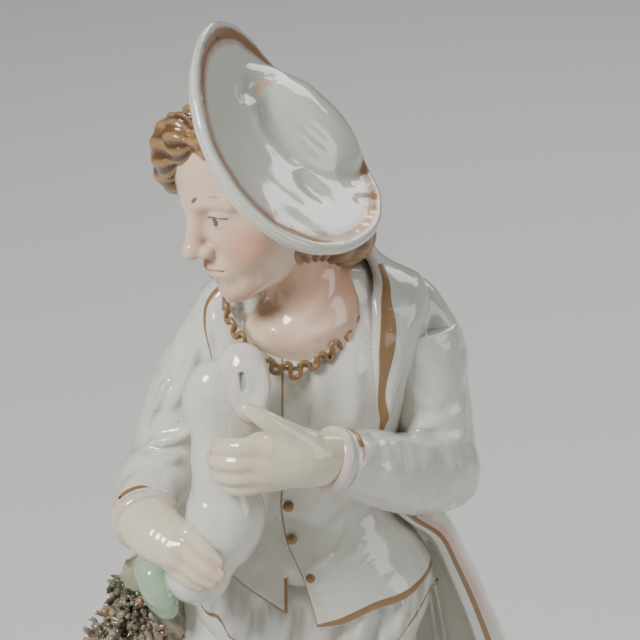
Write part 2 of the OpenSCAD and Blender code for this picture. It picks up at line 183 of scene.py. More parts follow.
def stack(p, levels, yaw=0.0, pivot=(0, 0)):
    """A body of level ovals: each level is (z, x, y, half width, half depth)."""
    table = smooth_path(levels, 8)
    order = np.argsort(table[:, 0], kind="stable")
    table = table[order]
    z = p[:, 2]
    cx, cy, rx, ry = (np.interp(z, table[:, 0], table[:, k]).astype(np.float32) for k in (1, 2, 3, 4))
    x, y = p[:, 0] - pivot[0], p[:, 1] - pivot[1]
    if yaw:
        c, s = math.cos(yaw), math.sin(yaw)
        x, y = c * x + s * y, c * y - s * x
    x, y = x + pivot[0] - cx, y + pivot[1] - cy
    k0 = np.sqrt((x / rx) ** 2 + (y / ry) ** 2)
    k1 = np.sqrt((x / (rx * rx)) ** 2 + (y / (ry * ry)) ** 2)
    side = k0 * (k0 - 1) / np.maximum(k1, 1e-5)
    return meet(meet(side, z - table[-1, 0], 1.0), table[0, 0] - z, 1.0)


def hash_noise(cells, seed):
    """A repeatable number from 0 to 1 for each integer cell."""
    c = cells.astype(np.int64).astype(np.uint32)
    h = (c[:, 0] * np.uint32(374761393) + c[:, 1] * np.uint32(668265263)
         + c[:, 2] * np.uint32(2246822519) + np.uint32(seed * 3266489917 % 4294967296))
    h = (h ^ (h >> np.uint32(13))) * np.uint32(1274126177)
    return ((h ^ (h >> np.uint32(16))) & np.uint32(0xFFFFFF)).astype(np.float32) / 16777215.0


def noise(p, size, seed=1):
    """Smooth value noise from -1 to 1 with cells of the given size."""
    q = p / size
    base = np.floor(q)
    t = q - base
    t = t * t * (3 - 2 * t)
    total = np.zeros(len(p), np.float32)
    for corner in range(8):
        o = vec(corner & 1, corner >> 1 & 1, corner >> 2 & 1)
        w = np.prod(np.where(o > 0, t, 1 - t), axis=1)
        total += w * hash_noise(base + o, seed)
    return total * 2 - 1


# ---------------------------------------------------------------- skinning a field
def grid_values(field, low, high, h):
    """Field values on a grid, worked out only in the blocks that the surface may cross."""
    counts = np.maximum(np.ceil((high - low) / (h * BLOCK)).astype(int), 1)
    middles = np.stack(np.meshgrid(*[np.arange(c) for c in counts], indexing="ij"), -1).reshape(-1, 3)
    centres = (low + (middles + 0.5) * BLOCK * h).astype(np.float32)
    rough = field(centres)
    reach = BLOCK * h * 0.9 * 1.45 + 0.5
    active = np.abs(rough) < reach
    side = np.where(rough < 0, -9.0, 9.0).astype(np.float32).reshape(counts)
    values = np.repeat(np.repeat(np.repeat(side, BLOCK, 0), BLOCK, 1), BLOCK, 2)
    steps = np.stack(np.meshgrid(*[np.arange(BLOCK)] * 3, indexing="ij"), -1).reshape(-1, 3)
    chosen = middles[active] * BLOCK
    for part in np.array_split(chosen, max(len(chosen) // 300, 1)):
        cells = (part[:, None, :] + steps[None]).reshape(-1, 3)
        points = (low + cells * h).astype(np.float32)
        values[cells[:, 0], cells[:, 1], cells[:, 2]] = field(points)
    return values


def corner_offsets():
    return [(i, j, k) for i in (0, 1) for j in (0, 1) for k in (0, 1)]


def surface_net(values, low, h):
    """Vertices and quads of the zero level of a grid."""
    inside = values < 0
    count = sum(inside[i:values.shape[0] - 1 + i, j:values.shape[1] - 1 + j, k:values.shape[2] - 1 + k]
                .astype(np.uint8) for i, j, k in corner_offsets())
    cells = np.argwhere((count > 0) & (count < 8))
    ids = np.full(count.shape, -1, np.int32)
    ids[cells[:, 0], cells[:, 1], cells[:, 2]] = np.arange(len(cells))
    corners = {o: values[cells[:, 0] + o[0], cells[:, 1] + o[1], cells[:, 2] + o[2]]
               for o in corner_offsets()}
    total = np.zeros((len(cells), 3), np.float32)
    hits = np.zeros(len(cells), np.float32)
    for a in corner_offsets():
        for axis in range(3):
            if a[axis]:
                continue
            b = tuple(1 if n == axis else a[n] for n in range(3))
            da, db = corners[a], corners[b]
            cross = (da < 0) != (db < 0)
            t = np.where(cross, da / np.where(da == db, 1, da - db), 0)
            place = np.tile(np.array(a, np.float32), (len(cells), 1))
            place[:, axis] = t
            total += place * cross[:, None]
            hits += cross
    verts = low + (cells + total / hits[:, None]) * h
    quads = []
    for axis in range(3):
        u, v = (axis + 1) % 3, (axis + 2) % 3
        first = [slice(1, -1)] * 3
        second = [slice(1, -1)] * 3
        first[axis] = slice(0, -1)
        second[axis] = slice(1, None)
        a, b = inside[tuple(first)], inside[tuple(second)]
        start = np.array([0 if n == axis else 1 for n in range(3)])
        for rising in (True, False):
            edges = np.argwhere((a & ~b) if rising else (~a & b)) + start
            ring = []
            for du, dv in ((0, 0), (-1, 0), (-1, -1), (0, -1)):
                c = edges.copy()
                c[:, u] += du
                c[:, v] += dv
                ring.append(ids[c[:, 0], c[:, 1], c[:, 2]])
            quad = np.stack(ring, 1)
            quads.append(quad if rising else quad[:, ::-1])
    return verts.astype(np.float32), np.concatenate(quads)


def settle(field, verts, h):
    """Moves each vertex on to the field's zero level; returns the vertices and their normals."""
    e = 0.35 * h
    d = field(verts)
    slope = np.stack([field(verts + e * vec(*axis)) - d for axis in np.eye(3)], 1) / e
    size = np.maximum((slope ** 2).sum(1), 0.15)
    for last in (False, True):
        step = slope * (d / size)[:, None]
        verts = verts - step * np.minimum(1, 0.6 * h / np.maximum(length(step), 1e-6))[:, None]
        if not last:
            d = field(verts)
    return verts, slope / np.sqrt(size)[:, None]


def skin(field, low, high, h):
    """A mesh of a field inside a box, closed where the box cuts it."""
    values = grid_values(field, low, high, h)
    for axis in range(3):
        edge = [slice(None)] * 3
        for end in (0, -1):
            edge[axis] = end
            values[tuple(edge)] = np.maximum(values[tuple(edge)], 0.01)
    verts, quads = surface_net(values, low, h)
    verts, normals = settle(field, verts, h)
    return verts, quads, normals


# ---------------------------------------------------------------- the head's and the hat's own axes
HEAD = vec(-5, -4, 171)
HEAD_UP = unit((-0.3, 0.05, 0.95))
FACE_WAY = square_to((-0.82, -0.57, -0.22), HEAD_UP)
HEAD_AXES = np.stack([np.cross(HEAD_UP, FACE_WAY), -FACE_WAY, HEAD_UP])
HAT = vec(-3, -4, 178)
HAT_UP = unit((0.62, -0.27, 0.74))
PEAK_WAY = square_to((-0.76, 0.02, 0.65), HAT_UP)
HAT_AXES = np.stack([PEAK_WAY, np.cross(HAT_UP, PEAK_WAY), HAT_UP])


def in_head(p):
    return (p - HEAD) @ HEAD_AXES.T


def in_hat(p):
    return (p - HAT) @ HAT_AXES.T


def mirrored(q):
    """Head coordinates folded on to the left half, so that one eye makes two."""
    return np.stack([np.abs(q[:, 0]), q[:, 1], q[:, 2]], 1)


# ---------------------------------------------------------------- head
EYE = (3.75, -9.0, 0.0)
BROW_LINE = [(1.5, -12.6, 2.9), (3.6, -12.4, 4.0), (6.6, -10.2, 3.3)]
LASH_LINE = [(1.9, -11.0, -0.2), (3.0, -11.7, 0.45), (4.4, -11.6, 0.5), (5.9, -10.4, -0.1)]
MOUTH_LINE = [(-2.5, -12.0, -8.15), (-1.0, -13.3, -7.95), (0, -13.6, -8.1), (1.0, -13.3, -7.95),
              (2.5, -12.0, -8.15)]


def head_field(p):
    q = in_head(p)
    m = mirrored(q)
    d = oval(q, (0, 2.0, 3.4), (10.3, 12.3, 11.6))
    d = blend(d, oval(q, (0, -3.4, -1.0), (8.7, 9.0, 11.0)), 3)
    d = blend(d, oval(q, (0, -4.6, 6.0), (8.3, 7.6, 7.2)), 3)
    d = blend(d, oval(q, (0, -5.2, -8.2), (6.3, 6.2, 6.2)), 3)
    d = blend(d, oval(q, (0, -9.6, -12.1), (2.8, 2.6, 2.3)), 2.4)
    d = blend(d, oval(m, (4.8, -8.0, -4.8), (3.4, 2.9, 3.8)), 2.4)
    d = blend(d, rod(m, (1.4, -11.7, 2.2), (6.4, -9.4, 2.2), 1.0, 0.8), 2)
    d = carve(d, oval(m, (3.9, -12.9, -0.1), (2.5, 2.0, 1.5)), 1.8)
    d = blend(d, rod(q, (0, -11.4, 2.0), (0, -14.3, -3.6), 1.0, 1.3), 1.8)
    d = blend(d, oval(q, (0, -14.5, -4.2), (1.35, 1.5, 1.2)), 0.9)
    d = blend(d, oval(m, (1.5, -13.1, -4.7), (0.95, 1.25, 0.9)), 0.7)
    d = carve(d, oval(m, (0.8, -13.7, -5.7), (0.4, 0.7, 0.35)), 0.4)
    d = blend(d, oval(q, (0, -11.0, -8.0), (3.0, 2.0, 2.3)), 1.8)
    d = carve(d, rod(q, (0, -13.5, -6.0), (0, -13.6, -7.0), 0.3), 0.6)
    d = blend(d, rod(m, (0.45, -12.75, -7.35), (2.1, -11.9, -7.9), 0.55, 0.3), 0.6)
    d = blend(d, rod(m, (0, -12.55, -8.75), (1.5, -12.0, -8.5), 0.7, 0.45), 0.6)
    line, _ = path_distance(q, MOUTH_LINE, 4)
    d = carve(d, line - 0.12, 0.45)
    d = carve(d, oval(q, (0, -13.2, -10.3), (1.7, 0.9, 0.6)), 0.9)
    ball = oval(m, EYE, (2.35, 2.45, 2.35))
    d = blend(d, ball, 0.35)
    e = m - vec(*EYE)
    upper = meet(length(e) - 2.72, 0.15 - (e[:, 2] - 0.28 + 0.045 * e[:, 0] ** 2), 0.3)
    lower = meet(length(e) - 2.62, e[:, 2] + 1.0 - 0.03 * e[:, 0] ** 2, 0.3)
    d = blend(blend(d, upper, 0.5), lower, 0.6)
    ear = meet(oval(m, (9.8, 1.8, -1.2), (1.7, 2.5, 3.5)), -oval(m, (11.4, 1.3, -0.8), (1.3, 1.5, 2.2)), 0.6)
    d = blend(d, ear, 0.8)
    return meet(d, under_hat(p), 0.3)


def head_paint(p):
    q = in_head(p)
    m = mirrored(q)
    brow, t = path_distance(m, BROW_LINE, 6)
    lash, _ = path_distance(m, LASH_LINE, 6)
    front = (q[:, 1] < -9).astype(np.float32)
    iris = np.sqrt((m[:, 0] - 3.75) ** 2 + (m[:, 2] + 0.25) ** 2)
    lips = np.minimum(rod(m, (0.3, -12.9, -7.45), (2.2, -12.0, -7.95), 0.5, 0.3),
                      rod(m, (0, -12.7, -8.75), (1.7, -12.1, -8.45), 0.62, 0.35))
    line, _ = path_distance(q, MOUTH_LINE, 4)
    cheek = 1 - ramp(length(m - vec(6.0, -9.0, -4.8)), 0.8, 5.4)
    warm = (0.55 * (1 - ramp(length(q - vec(0, -10, -13)), 1.5, 5))
            + 0.5 * (1 - ramp(length(q - vec(0, -14, -5)), 0.5, 2.6)))
    return {
        "brow": np.where(q[:, 2] < 6, 0.34 * np.clip(1.2 - t, 0.25, 1) - brow, -9),
        "lash": (0.17 - lash) * front + (front - 1),
        "iris": (0.85 - iris) * front + (front - 1),
        "lips": -lips + 0.06,
        "mouth": 0.13 - line,
        "blush_and_shade": np.clip(cheek + warm, 0, 1),
    }


# ---------------------------------------------------------------- hair
def hair_back_field(p):
    q = in_head(p)
    d = oval(q, (0, 3.6, -0.5), (11.3, 12.4, 13.6))
    d = blend(d, oval(q, (0.6, 8.0, -11.6), (7.4, 5.4, 5.0)), 2)
    d = meet(d, -(q[:, 1] + 1.2 - 0.22 * (q[:, 2] + 4)) + 0.16 * np.abs(q[:, 0]) - 1.2, 1.2)
    return meet(d - 0.28 * hair_lines(q), under_hat(p), 0.3)


def hair_lines(q):
    """Combed strands, as a wave round the skull that drifts as it falls."""
    turn = np.arctan2(q[:, 0], q[:, 1] - 1)
    drift = 0.5 * np.sin(q[:, 2] * 0.45 + 1.2 * turn) + 0.25 * np.sin(q[:, 2] * 0.9 + 3 * turn)
    return np.sin(26 * turn + 3.2 * drift) * (0.75 + 0.25 * np.sin(9 * turn - q[:, 2] * 0.6))


def curl(q, path, lines):
    """A rolled lock of hair with strands wound along it."""
    d = limb(q, path, 5)
    pts = smooth_path(path, 5)[:, :3]
    _, along = path_distance(q, pts, 1)
    spin = np.arctan2(q[:, 2] - np.interp(along, np.linspace(0, 1, len(pts)), pts[:, 2]),
                      q[:, 1] - np.interp(along, np.linspace(0, 1, len(pts)), pts[:, 1]))
    wave = np.sin(lines * spin + 16 * along)
    return d - 0.16 * wave, wave


CURLS = [
    [(-1.4, -8.8, 13.4, 1.6), (-0.4, -9.8, 12.4, 2.5), (0.2, -10.4, 10.8, 2.5), (-1.6, -11.0, 9.4, 1.5)],
    [(-4.0, -8.6, 13.0, 1.6), (-3.6, -10.2, 11.4, 2.7), (-3.2, -11.4, 9.2, 2.7), (-3.8, -11.6, 7.2, 1.6)],
    [(-6.4, -8.0, 11.0, 1.6), (-6.0, -9.8, 9.0, 2.6), (-5.2, -11.0, 6.4, 2.6), (-5.0, -11.0, 4.0, 1.5)],
    [(-9.8, -3.0, 10.6, 2.0), (-11.0, -1.6, 7.0, 2.6), (-11.2, -0.2, 2.6, 2.4), (-10.8, 1.4, -1.4, 1.5)],
    [(-8.6, -6.4, 9.4, 1.8), (-9.6, -6.0, 6.0, 2.3), (-9.8, -4.8, 2.6, 2.0), (-9.6, -3.6, 0.2, 1.2)],
    [(3.6, -9.6, 11.6, 1.6), (6.4, -8.4, 10.4, 2.3), (8.8, -5.4, 8.6, 2.2), (10.2, -2.6, 5.0, 1.6)],
]


def curls_field(p):
    q = in_head(p)
    d = None
    for path in CURLS:
        c, _ = curl(q, path, 5)
        d = c if d is None else blend(d, c, 0.5)
    return meet(d, under_hat(p), 0.3)


# ---------------------------------------------------------------- hat
CROWN_CENTRE = (-2.0, -5.6, 0.5)
CROWN_SIZE = (11.3, 7.1, 4.8)


def hat_rim(turn):
    """Radius of the brim's edge at an angle from the peak, and its lift: ends turned up, sides let down."""
    radius = 18.5 + 0.3 * np.cos(turn) + 3.4 * np.sin(turn)
    lift = 1.6 + 2.6 * np.cos(turn) + 2.25 * np.cos(2 * turn) + 1.6 * np.sin(turn)
    return radius, lift


def brim_height(q):
    """Distance out, the edge's radius and lift there, the share of the way to it, and the sheet's height."""
    r = np.hypot(q[:, 0], q[:, 1])
    radius, lift = hat_rim(np.arctan2(q[:, 1], q[:, 0]))
    s = np.clip(r / radius, 0, 1.25)
    return r, radius, lift, s, lift * s ** 2.0


HAT_DENTS = [
    ([(7.6, -3.6, 2.4), (5.2, -1.6, 1.8), (2.7, 0.9, 1.3), (-1.0, 2.6, 1.3), (-4.6, 2.8, 1.6)], 1.5, 0.75),
    ([(9.3, 2.0, 1.2), (7.8, -1.6, 2.0), (6.4, -4.6, 3.2), (5.2, -8.6, 3.8)], 1.5, 0.9),
    ([(5.2, -0.6, 3.6), (0.0, -0.7, 4.0), (-4.3, -0.8, 3.8), (-7.6, -1.4, 3.0)], 1.1, 0.5),
    ([(-4.0, 5.0, 1.2), (-7.6, 6.6, 1.6), (-11.0, 5.6, 2.0)], 1.6, 0.55),
    ([(-10.6, 1.0, 2.6), (-12.6, -2.6, 2.0), (-13.6, -6.6, 1.0)], 1.5, 0.6),
    ([(-13.6, 3.0, 2.0), (-15.0, 1.0, 2.0), (-16.8, -1.0, 2.0)], 0.8, 0.3),
]


def hat_field(p):
    q = in_hat(p)
    r, radius, lift, s, middle = brim_height(q)
    slope = 2.0 * lift * s / radius
    sheet = np.abs(q[:, 2] - middle) / np.sqrt(1 + slope * slope) - (0.8 + 0.3 * (1 - s))
    sheet = meet(sheet, r - radius + 0.5, 0.8)
    bead = np.hypot(r - (radius - 0.85), q[:, 2] - middle - 0.1) - 0.98
    d = blend(sheet, bead, 0.7)
    d = blend(d, oval(q, CROWN_CENTRE, CROWN_SIZE), 2.6)
    d += folds(q, HAT_DENTS)
    d -= 0.12 * noise(q, 3.2, 7)
    hollow = oval(q, (-2.0, -5.4, -2.2), (9.4, 5.6, 4.8))
    return carve(d, hollow, 0.8)


def under_hat(p):
    """Below zero where hair and head may be: under the brim's middle, or inside the crown."""
    q = in_hat(p)
    middle = brim_height(q)[4]
    return blend(q[:, 2] - middle, oval(q, CROWN_CENTRE, CROWN_SIZE) + 0.6, 0.5)


def crown_split(p):
    """Distance outside the line where the crown is luted to the brim."""
    q = in_hat(p)
    return np.hypot(q[:, 0] + 2.0, (q[:, 1] + 5.4) * 1.4) - 12.8


def feather(x):
    """How far a moulding draws back beyond the seam: nothing at it, and more further on."""
    x = np.maximum(x, 0)
    return 0.12 * x + 0.1 * x * x


def hat_crown_field(p):
    return hat_field(p) + feather(crown_split(p))


def hat_brim_field(p):
    return hat_field(p) + feather(-crown_split(p))


def hat_paint(p):
    q = in_hat(p)
    r, radius, _, _, middle = brim_height(q)
    return {"edge": np.where(q[:, 2] > middle - 0.1, radius - r, 9)}


# ---------------------------------------------------------------- torso, waistcoat and frill
WAISTCOAT_LEVELS = [
    (99, 0.8, -0.4, 22.2, 15.2), (104, 0.8, -0.4, 21.0, 14.6), (108, 0.6, -0.3, 19.6, 13.9),
    (112, 0.5, -0.2, 17.2, 12.8), (116, 0.5, 0, 14.6, 11.7), (120, 0.5, 0, 13.2, 10.9),
    (126, 0.6, 0, 13.0, 10.7), (132, 0.9, 0.1, 13.8, 11.1), (138, 1.2, 0.3, 15.0, 11.2),
    (143, 1.4, 0.5, 15.2, 10.9), (147, 1.6, 0.9, 14.4, 9.8), (150.5, 1.8, 1.4, 12.8, 8.2),
    (153.5, 2.0, 1.8, 10.2, 7.0), (156.5, 2.0, 2.0, 7.6, 5.8),
]
CHEST_YAW = -0.1
CLOSING = [(-2.6, 140), (-2.8, 124), (-2.9, 121), (-2.0, 115.6), (0, 111.4), (1.5, 107), (2.4, 103.4),
           (2.6, 100)]
WAISTCOAT_FOLDS = [
    ([(1.0, -13.4, 111.5), (5.5, -13.2, 115.0), (9.5, -10.6, 120.5)], 0.9, 0.42),
    ([(2.0, -13.4, 110.5), (7.0, -12.6, 113.0), (12.0, -9.6, 117.5)], 0.9, 0.5),
    ([(1.6, -13.8, 109.5), (6.5, -13.4, 110.8), (12.5, -10.6, 113.6)], 1.0, 0.45),
    ([(3.0, -13.8, 108.0), (8.0, -13.0, 108.8), (15.0, -9.4, 111.0)], 1.2, 0.4),
    ([(5.0, -11.6, 117.5), (9.5, -10.0, 122.5), (12.0, -7.6, 127.5)], 1.1, 0.4),
    ([(0.5, -11.4, 119.0), (4.0, -11.2, 123.0), (7.0, -10.6, 128.0)], 1.2, 0.3),
    ([(-6.0, -11.0, 146.5), (-4.0, -12.2, 141.0), (-3.0, -12.0, 135.0)], 1.4, 0.35),
    ([(2.0, -11.4, 145.5), (3.0, -12.0, 139.0), (1.6, -11.8, 132.0)], 1.6, 0.4),
    ([(7.5, -9.0, 148.0), (8.5, -10.6, 141.0), (8.0, -10.4, 133.0)], 1.6, 0.4),
]


def closing_line(z):
    """Where the waistcoat's left front ends, at a height."""
    rows = smooth_path(CLOSING, 6)[::-1]
    return np.interp(z, rows[:, 1], rows[:, 0]).astype(np.float32)


def waistcoat_field(p):
    d = stack(p, WAISTCOAT_LEVELS, CHEST_YAW)
    x, y, z = p.T
    lap = ramp(x - closing_line(z), -0.18, 0.18) * ramp(-y, 4, 8)
    d -= 0.32 * lap - 0.16
    d -= 1.7 * folds(p, WAISTCOAT_FOLDS)
    return d - 0.16 * noise(p, 4.0, 3) - 0.07 * noise(p, 2.0, 4)


def hem_height(x):
    """Lower edge of the waistcoat, which is higher at the right front's corner."""
    run = np.maximum(x - 2.2, 0)
    left = 102.0 + 0.3 * run - 0.0048 * run * run + 0.2 * np.sin(x * 0.7)
    right = 104.4 + 0.54 * np.maximum(-1.9 - x, 0)
    return left, np.minimum(right, 110)


def torso_field(p):
    d = waistcoat_field(p)
    return d + feather(112 - p[:, 2])


def flap_shell(p):
    d = waistcoat_field(p)
    return meet(d, -(d + 1.5), 0.5) + feather(p[:, 2] - 112)


def left_flap_field(p):
    x, y, z = p.T
    left, _ = hem_height(x)
    d = meet(flap_shell(p), left - z, 0.9)
    return meet(d, (closing_line(z) - x) * 0.9 - 4 * ramp(y, -4, 2), 0.5)


def right_flap_field(p):
    x, y, z = p.T
    _, right = hem_height(x)
    d = meet(flap_shell(p), right - z, 0.7)
    return meet(d, (x - closing_line(z) * 0.35 + 1.8 + 0.1 * (112 - z)) * 0.9 - 4 * ramp(y, -4, 2), 0.5)


def waistcoat_paint(p):
    x, y, z = p.T
    left, right = hem_height(x)
    width = 0.26 + 0.42 * ramp(x, 2, 8) * ramp(-x, -23, -15)
    hem_left = np.where(x > closing_line(z) + 0.2, width - np.abs(z - left - 0.9), -9)
    hem_right = np.where(x < closing_line(z) - 0.2, 0.26 - np.abs(z - right - 0.35), -9)
    edge = 0.16 - np.abs(x - closing_line(z) - 0.05)
    edge_right = np.where(z < 110.6, 0.28 - np.abs(x - closing_line(z) * 0.35 + 2.15 + 0.1 * (112 - z)), -9)
    front = np.where(y < -5, 0, -9)
    return {"gilt": np.maximum(np.maximum(hem_left, hem_right), np.maximum(edge, edge_right) + front)}


BUTTONS = [(-1.4, -10.9, 128.6), (-1.8, -11.1, 121.4), (-1.3, -12.0, 116.3), (1.6, -13.5, 110.4)]


def buttons_field(p):
    d = None
    for x, y, z in BUTTONS:
        b = oval(p, (x, y, z), (0.85, 0.7, 0.82))
        d = b if d is None else np.minimum(d, b)
    return d


NECKLINE = [
    (1.5, 5.6, 155.6), (6.6, 3.0, 154.6), (8.7, -2.6, 151.2), (7.0, -7.2, 148.6), (3.2, -10.4, 146.2),
    (-1.2, -11.8, 144.8), (-5.2, -11.8, 146.6), (-8.6, -9.6, 149.4), (-10.5, -5.4, 152.4), (-9.4, 0.4, 155.2),
    (-4.5, 4.8, 156), (1.5, 5.6, 155.6),
]


def neck_field(p):
    d = limb(p, [(2.2, -1.2, 141, 7.0), (2.0, -1.6, 147, 8.6), (1.5, -1.9, 151.5, 7.4), (0.2, -2.4, 156, 6.2),
                 (-1.6, -3.0, 161, 6.0), (-3.2, -3.2, 166, 6.2)], 4)
    d = blend(d, oval(p, (-0.9, -4.0, 148.2), (7.6, 6.6, 4.0)), 2.0)
    d -= folds(p, [
        ([(6.6, -3.0, 160.5), (3.8, -7.4, 155.0), (0.0, -10.4, 150.5)], 1.1, 0.55),
        ([(8.0, -5.0, 151.6), (4.0, -10.0, 150.2), (-0.5, -11.2, 149.8)], 1.2, 0.5),
        ([(-8.4, -5.0, 152.4), (-5.0, -9.4, 150.6), (-1.4, -11.0, 149.8)], 1.2, 0.5),
    ])
    return d


def neck_paint(p):
    z = p[:, 2]
    rosy = 0.55 * ramp(z, 150, 157) * (1 - ramp(z, 158, 164)) + 0.35 * ramp(p[:, 0], 3, 8)
    return {"blush_and_shade": np.clip(rosy, 0, 1)}


def frill_lines():
    """The neck frill's two lines: the gilt thread that meanders round the neck, and the seam under it."""
    ring = smooth_path(NECKLINE, 60)[:-1]
    middle = ring.mean(0)
    gaps = np.linalg.norm(np.roll(ring, -1, 0) - ring, axis=1)
    run = np.concatenate([[0], np.cumsum(gaps)])
    waves = 24
    phase = run[:-1] / run[-1] * 2 * math.pi * waves
    out = ring - middle
    out[:, 2] = 0
    out /= np.linalg.norm(out, axis=1)[:, None]
    along = np.roll(ring, -1, 0) - np.roll(ring, 1, 0)
    along /= np.linalg.norm(along, axis=1)[:, None]
    up = np.cross(along, out)
    up *= np.sign(up[:, 2:3])
    loose = 1 + 0.25 * np.sin(0.37 * phase + 1)
    wave = (1.05 * np.sin(phase) * loose)[:, None]
    swing = (-0.28 * np.sin(2 * phase + 0.25))[:, None]
    return ring + up * wave + along * swing + out * 0.6, ring


def make_frill():
    """The frill's field and its paint."""
    crest, ring = frill_lines()
    crest_rows = crest[::2]
    ring_rows = ring[::8]

    def nearest(p, rows):
        best = np.full(len(p), 1e6, np.float32)
        for a, b in zip(rows, np.roll(rows, -1, 0)):
            ab = b - a
            q = p - a
            t = np.clip(q @ ab / float(ab @ ab), 0, 1)
            best = np.minimum(best, length(q - t[:, None] * ab))
        return best

    def field(p):
        d = nearest(p, crest_rows) - 0.36
        base = nearest(p, ring_rows) - 0.35
        return blend(d, base, 0.4)

    def paint(p):
        return {"gilt": 0.56 - nearest(p, crest_rows)}

    return field, paint


# ---------------------------------------------------------------- coat
COAT_LEVELS = [
    (58, 3.2, 7.4, 34.6, 20.5), (66, 3.2, 7.2, 33.8, 19.8), (76, 3.1, 6.8, 32.0, 19.0),
    (86, 3, 6.2, 29.6, 18.2), (95, 2.8, 5.2, 27.0, 17.0), (103, 2.4, 4.2, 24.4, 15.8),
    (110, 2, 3.0, 21.6, 14.4), (115, 1.6, 2.0, 18.8, 13.2), (120, 1.1, 1.3, 16.0, 12.5),
    (126, 0.9, 0.9, 14.6, 12.2), (132, 1.1, 0.8, 14.8, 12.4), (138, 1.5, 0.9, 15.9, 12.8),
    (143, 1.8, 1.0, 16.8, 12.7), (147, 1.9, 1.2, 17.0, 11.9), (150.5, 2.0, 1.5, 16.0, 10.6),
    (153.5, 2.2, 1.8, 13.6, 9.2), (156.5, 2.4, 2.1, 10.2, 7.8), (159, 2.4, 2.3, 8.2, 6.8),
]
CLOTH = 1.7
AXIS = (1.5, 1.0)
LEFT_EDGE = [(8, 160), (-5, 158), (-15, 156), (-31, 153), (-39, 150), (-44, 147), (-46, 144), (-46, 138),
             (-42, 133), (-38, 124), (-24, 116.5), (-11, 111.5), (-7.5, 106), (-5, 99.5), (-2.5, 91.5),
             (0, 82), (2, 70), (3, 55)]
RIGHT_EDGE = [(178, 160), (186, 156), (192, 152), (199, 148), (205, 144), (209, 138), (211, 130), (212, 120),
              (212, 114), (214, 108), (217, 100), (216, 90), (214, 78), (214, 64), (216, 55)]


def coat_turn(p):
    """Angle round the figure's upright axis, from -90 to 270 degrees, and distance from it."""
    x, y = p[:, 0] - AXIS[0], p[:, 1] - AXIS[1]
    turn = np.degrees(np.arctan2(y, x))
    return np.where(turn < -90, turn + 360, turn), np.hypot(x, y)


def edge_turn(rows, z):
    table = smooth_path(rows, 5)[::-1]
    return np.interp(z, table[:, 1], table[:, 0]).astype(np.float32)


def coat_edges(p):
    """Millimetres inside the left and the right front edge of the coat."""
    turn, r = coat_turn(p)
    z = p[:, 2]
    k = np.radians(1.0) * r * 0.9
    return (turn - edge_turn(LEFT_EDGE, z)) * k, (edge_turn(RIGHT_EDGE, z) - turn) * k


COAT_FOLDS = [
    ([(13.0, 9.5, 148), (14.0, 11.5, 138), (11.0, 12.0, 126)], 1.4, 0.6),
    ([(-9.0, 10.0, 148), (-11.0, 12.0, 138), (-8.0, 12.0, 126)], 1.4, 0.6),
    ([(15.4, -2.0, 151), (14.6, -6.0, 145), (13.4, -8.0, 137), (13.0, -8.5, 130)], 1.0, 1.1),
    ([(-12.5, -3.0, 152), (-14.0, -6.0, 147), (-14.4, -7.5, 140)], 1.1, 0.8),
    ([(20, 3, 118), (23, 4, 108), (26, 5, 96)], 1.6, 0.7),
]


def coat_body(p):
    d = stack(p, COAT_LEVELS)
    turn, _ = coat_turn(p)
    z = p[:, 2]
    fall = ramp(-z, -116, -70)
    drift = 6 * np.sin(z * 0.05)
    pleat = np.sin(np.radians(turn * 7 + drift)) + 0.45 * np.sin(np.radians(turn * 13 - 30 + 2 * drift))
    vent = np.exp(-((turn - 90) / 3.0) ** 2)
    side = np.exp(-((turn - 34) / 5.0) ** 2) + np.exp(-((turn - 150) / 5.0) ** 2)
    d += fall * (1.1 * vent + 1.6 * side - 0.75 * pleat)
    d += 0.35 * vent * ramp(z, 112, 118)
    d -= folds(p, COAT_FOLDS)
    return d - 0.12 * noise(p, 5.0, 11)


ARMHOLES = (((15.2, 2.0, 146.0), (0.95, 0.0, -0.3)), ((-11.6, 2.0, 146.0), (-0.95, 0.0, -0.3)))


def shoulder_blend(z):
    """How softly coat and sleeve run together: in one sweep at the shoulder, in a crease under the arm."""
    return 0.4 + 4.0 * ramp(z, 134, 153)


def coat_with_shoulders(p):
    body = coat_body(p)
    k = shoulder_blend(p[:, 2])
    d = body.copy()
    x, _, z = p.T
    for sleeve, hole, near in ((left_sleeve, ARMHOLES[0], (x > 5) & (z > 112) & (z < 158)),
                               (right_sleeve, ARMHOLES[1], (x < -3) & (z > 112) & (z < 158))):
        if near.any():
            here = p[near]
            d[near] = blend(d[near], sleeve(here) + 2 * feather(past(here, *hole)), k[near])
    return d, body


def upper_sleeve(p, sleeve, hole):
    z = p[:, 2]
    d = sleeve.copy()
    high = z > 132
    if high.any():
        here = p[high]
        body = coat_body(here) + 2 * feather(-past(here, *hole)) + 2 * feather(140 - here[:, 2])
        d[high] = blend(sleeve[high], body, shoulder_blend(here[:, 2]))
    return d


def coat_shell(p):
    d, body = coat_with_shoulders(p)
    left, right = coat_edges(p)
    z = p[:, 2]
    turn, _ = coat_turn(p)
    shell = meet(d, -(body + CLOTH), 0.7)
    hem = 62 + 1.6 * np.sin(np.radians(turn * 3 + 20)) - z
    shell = meet(shell, hem, 1.2)
    return meet(shell, -np.minimum(left, right), 1.1)


def coat_back_field(p):
    turn, r = coat_turn(p)
    k = np.radians(1.0) * r
    outside = np.maximum((18 - turn) * k, (turn - 162) * k)
    return coat_shell(p) + feather(outside) * 2


def coat_left_field(p):
    turn, r = coat_turn(p)
    return coat_shell(p) + feather((turn - 18) * np.radians(1.0) * r) * 2


def coat_right_field(p):
    turn, r = coat_turn(p)
    return coat_shell(p) + feather((162 - turn) * np.radians(1.0) * r) * 2


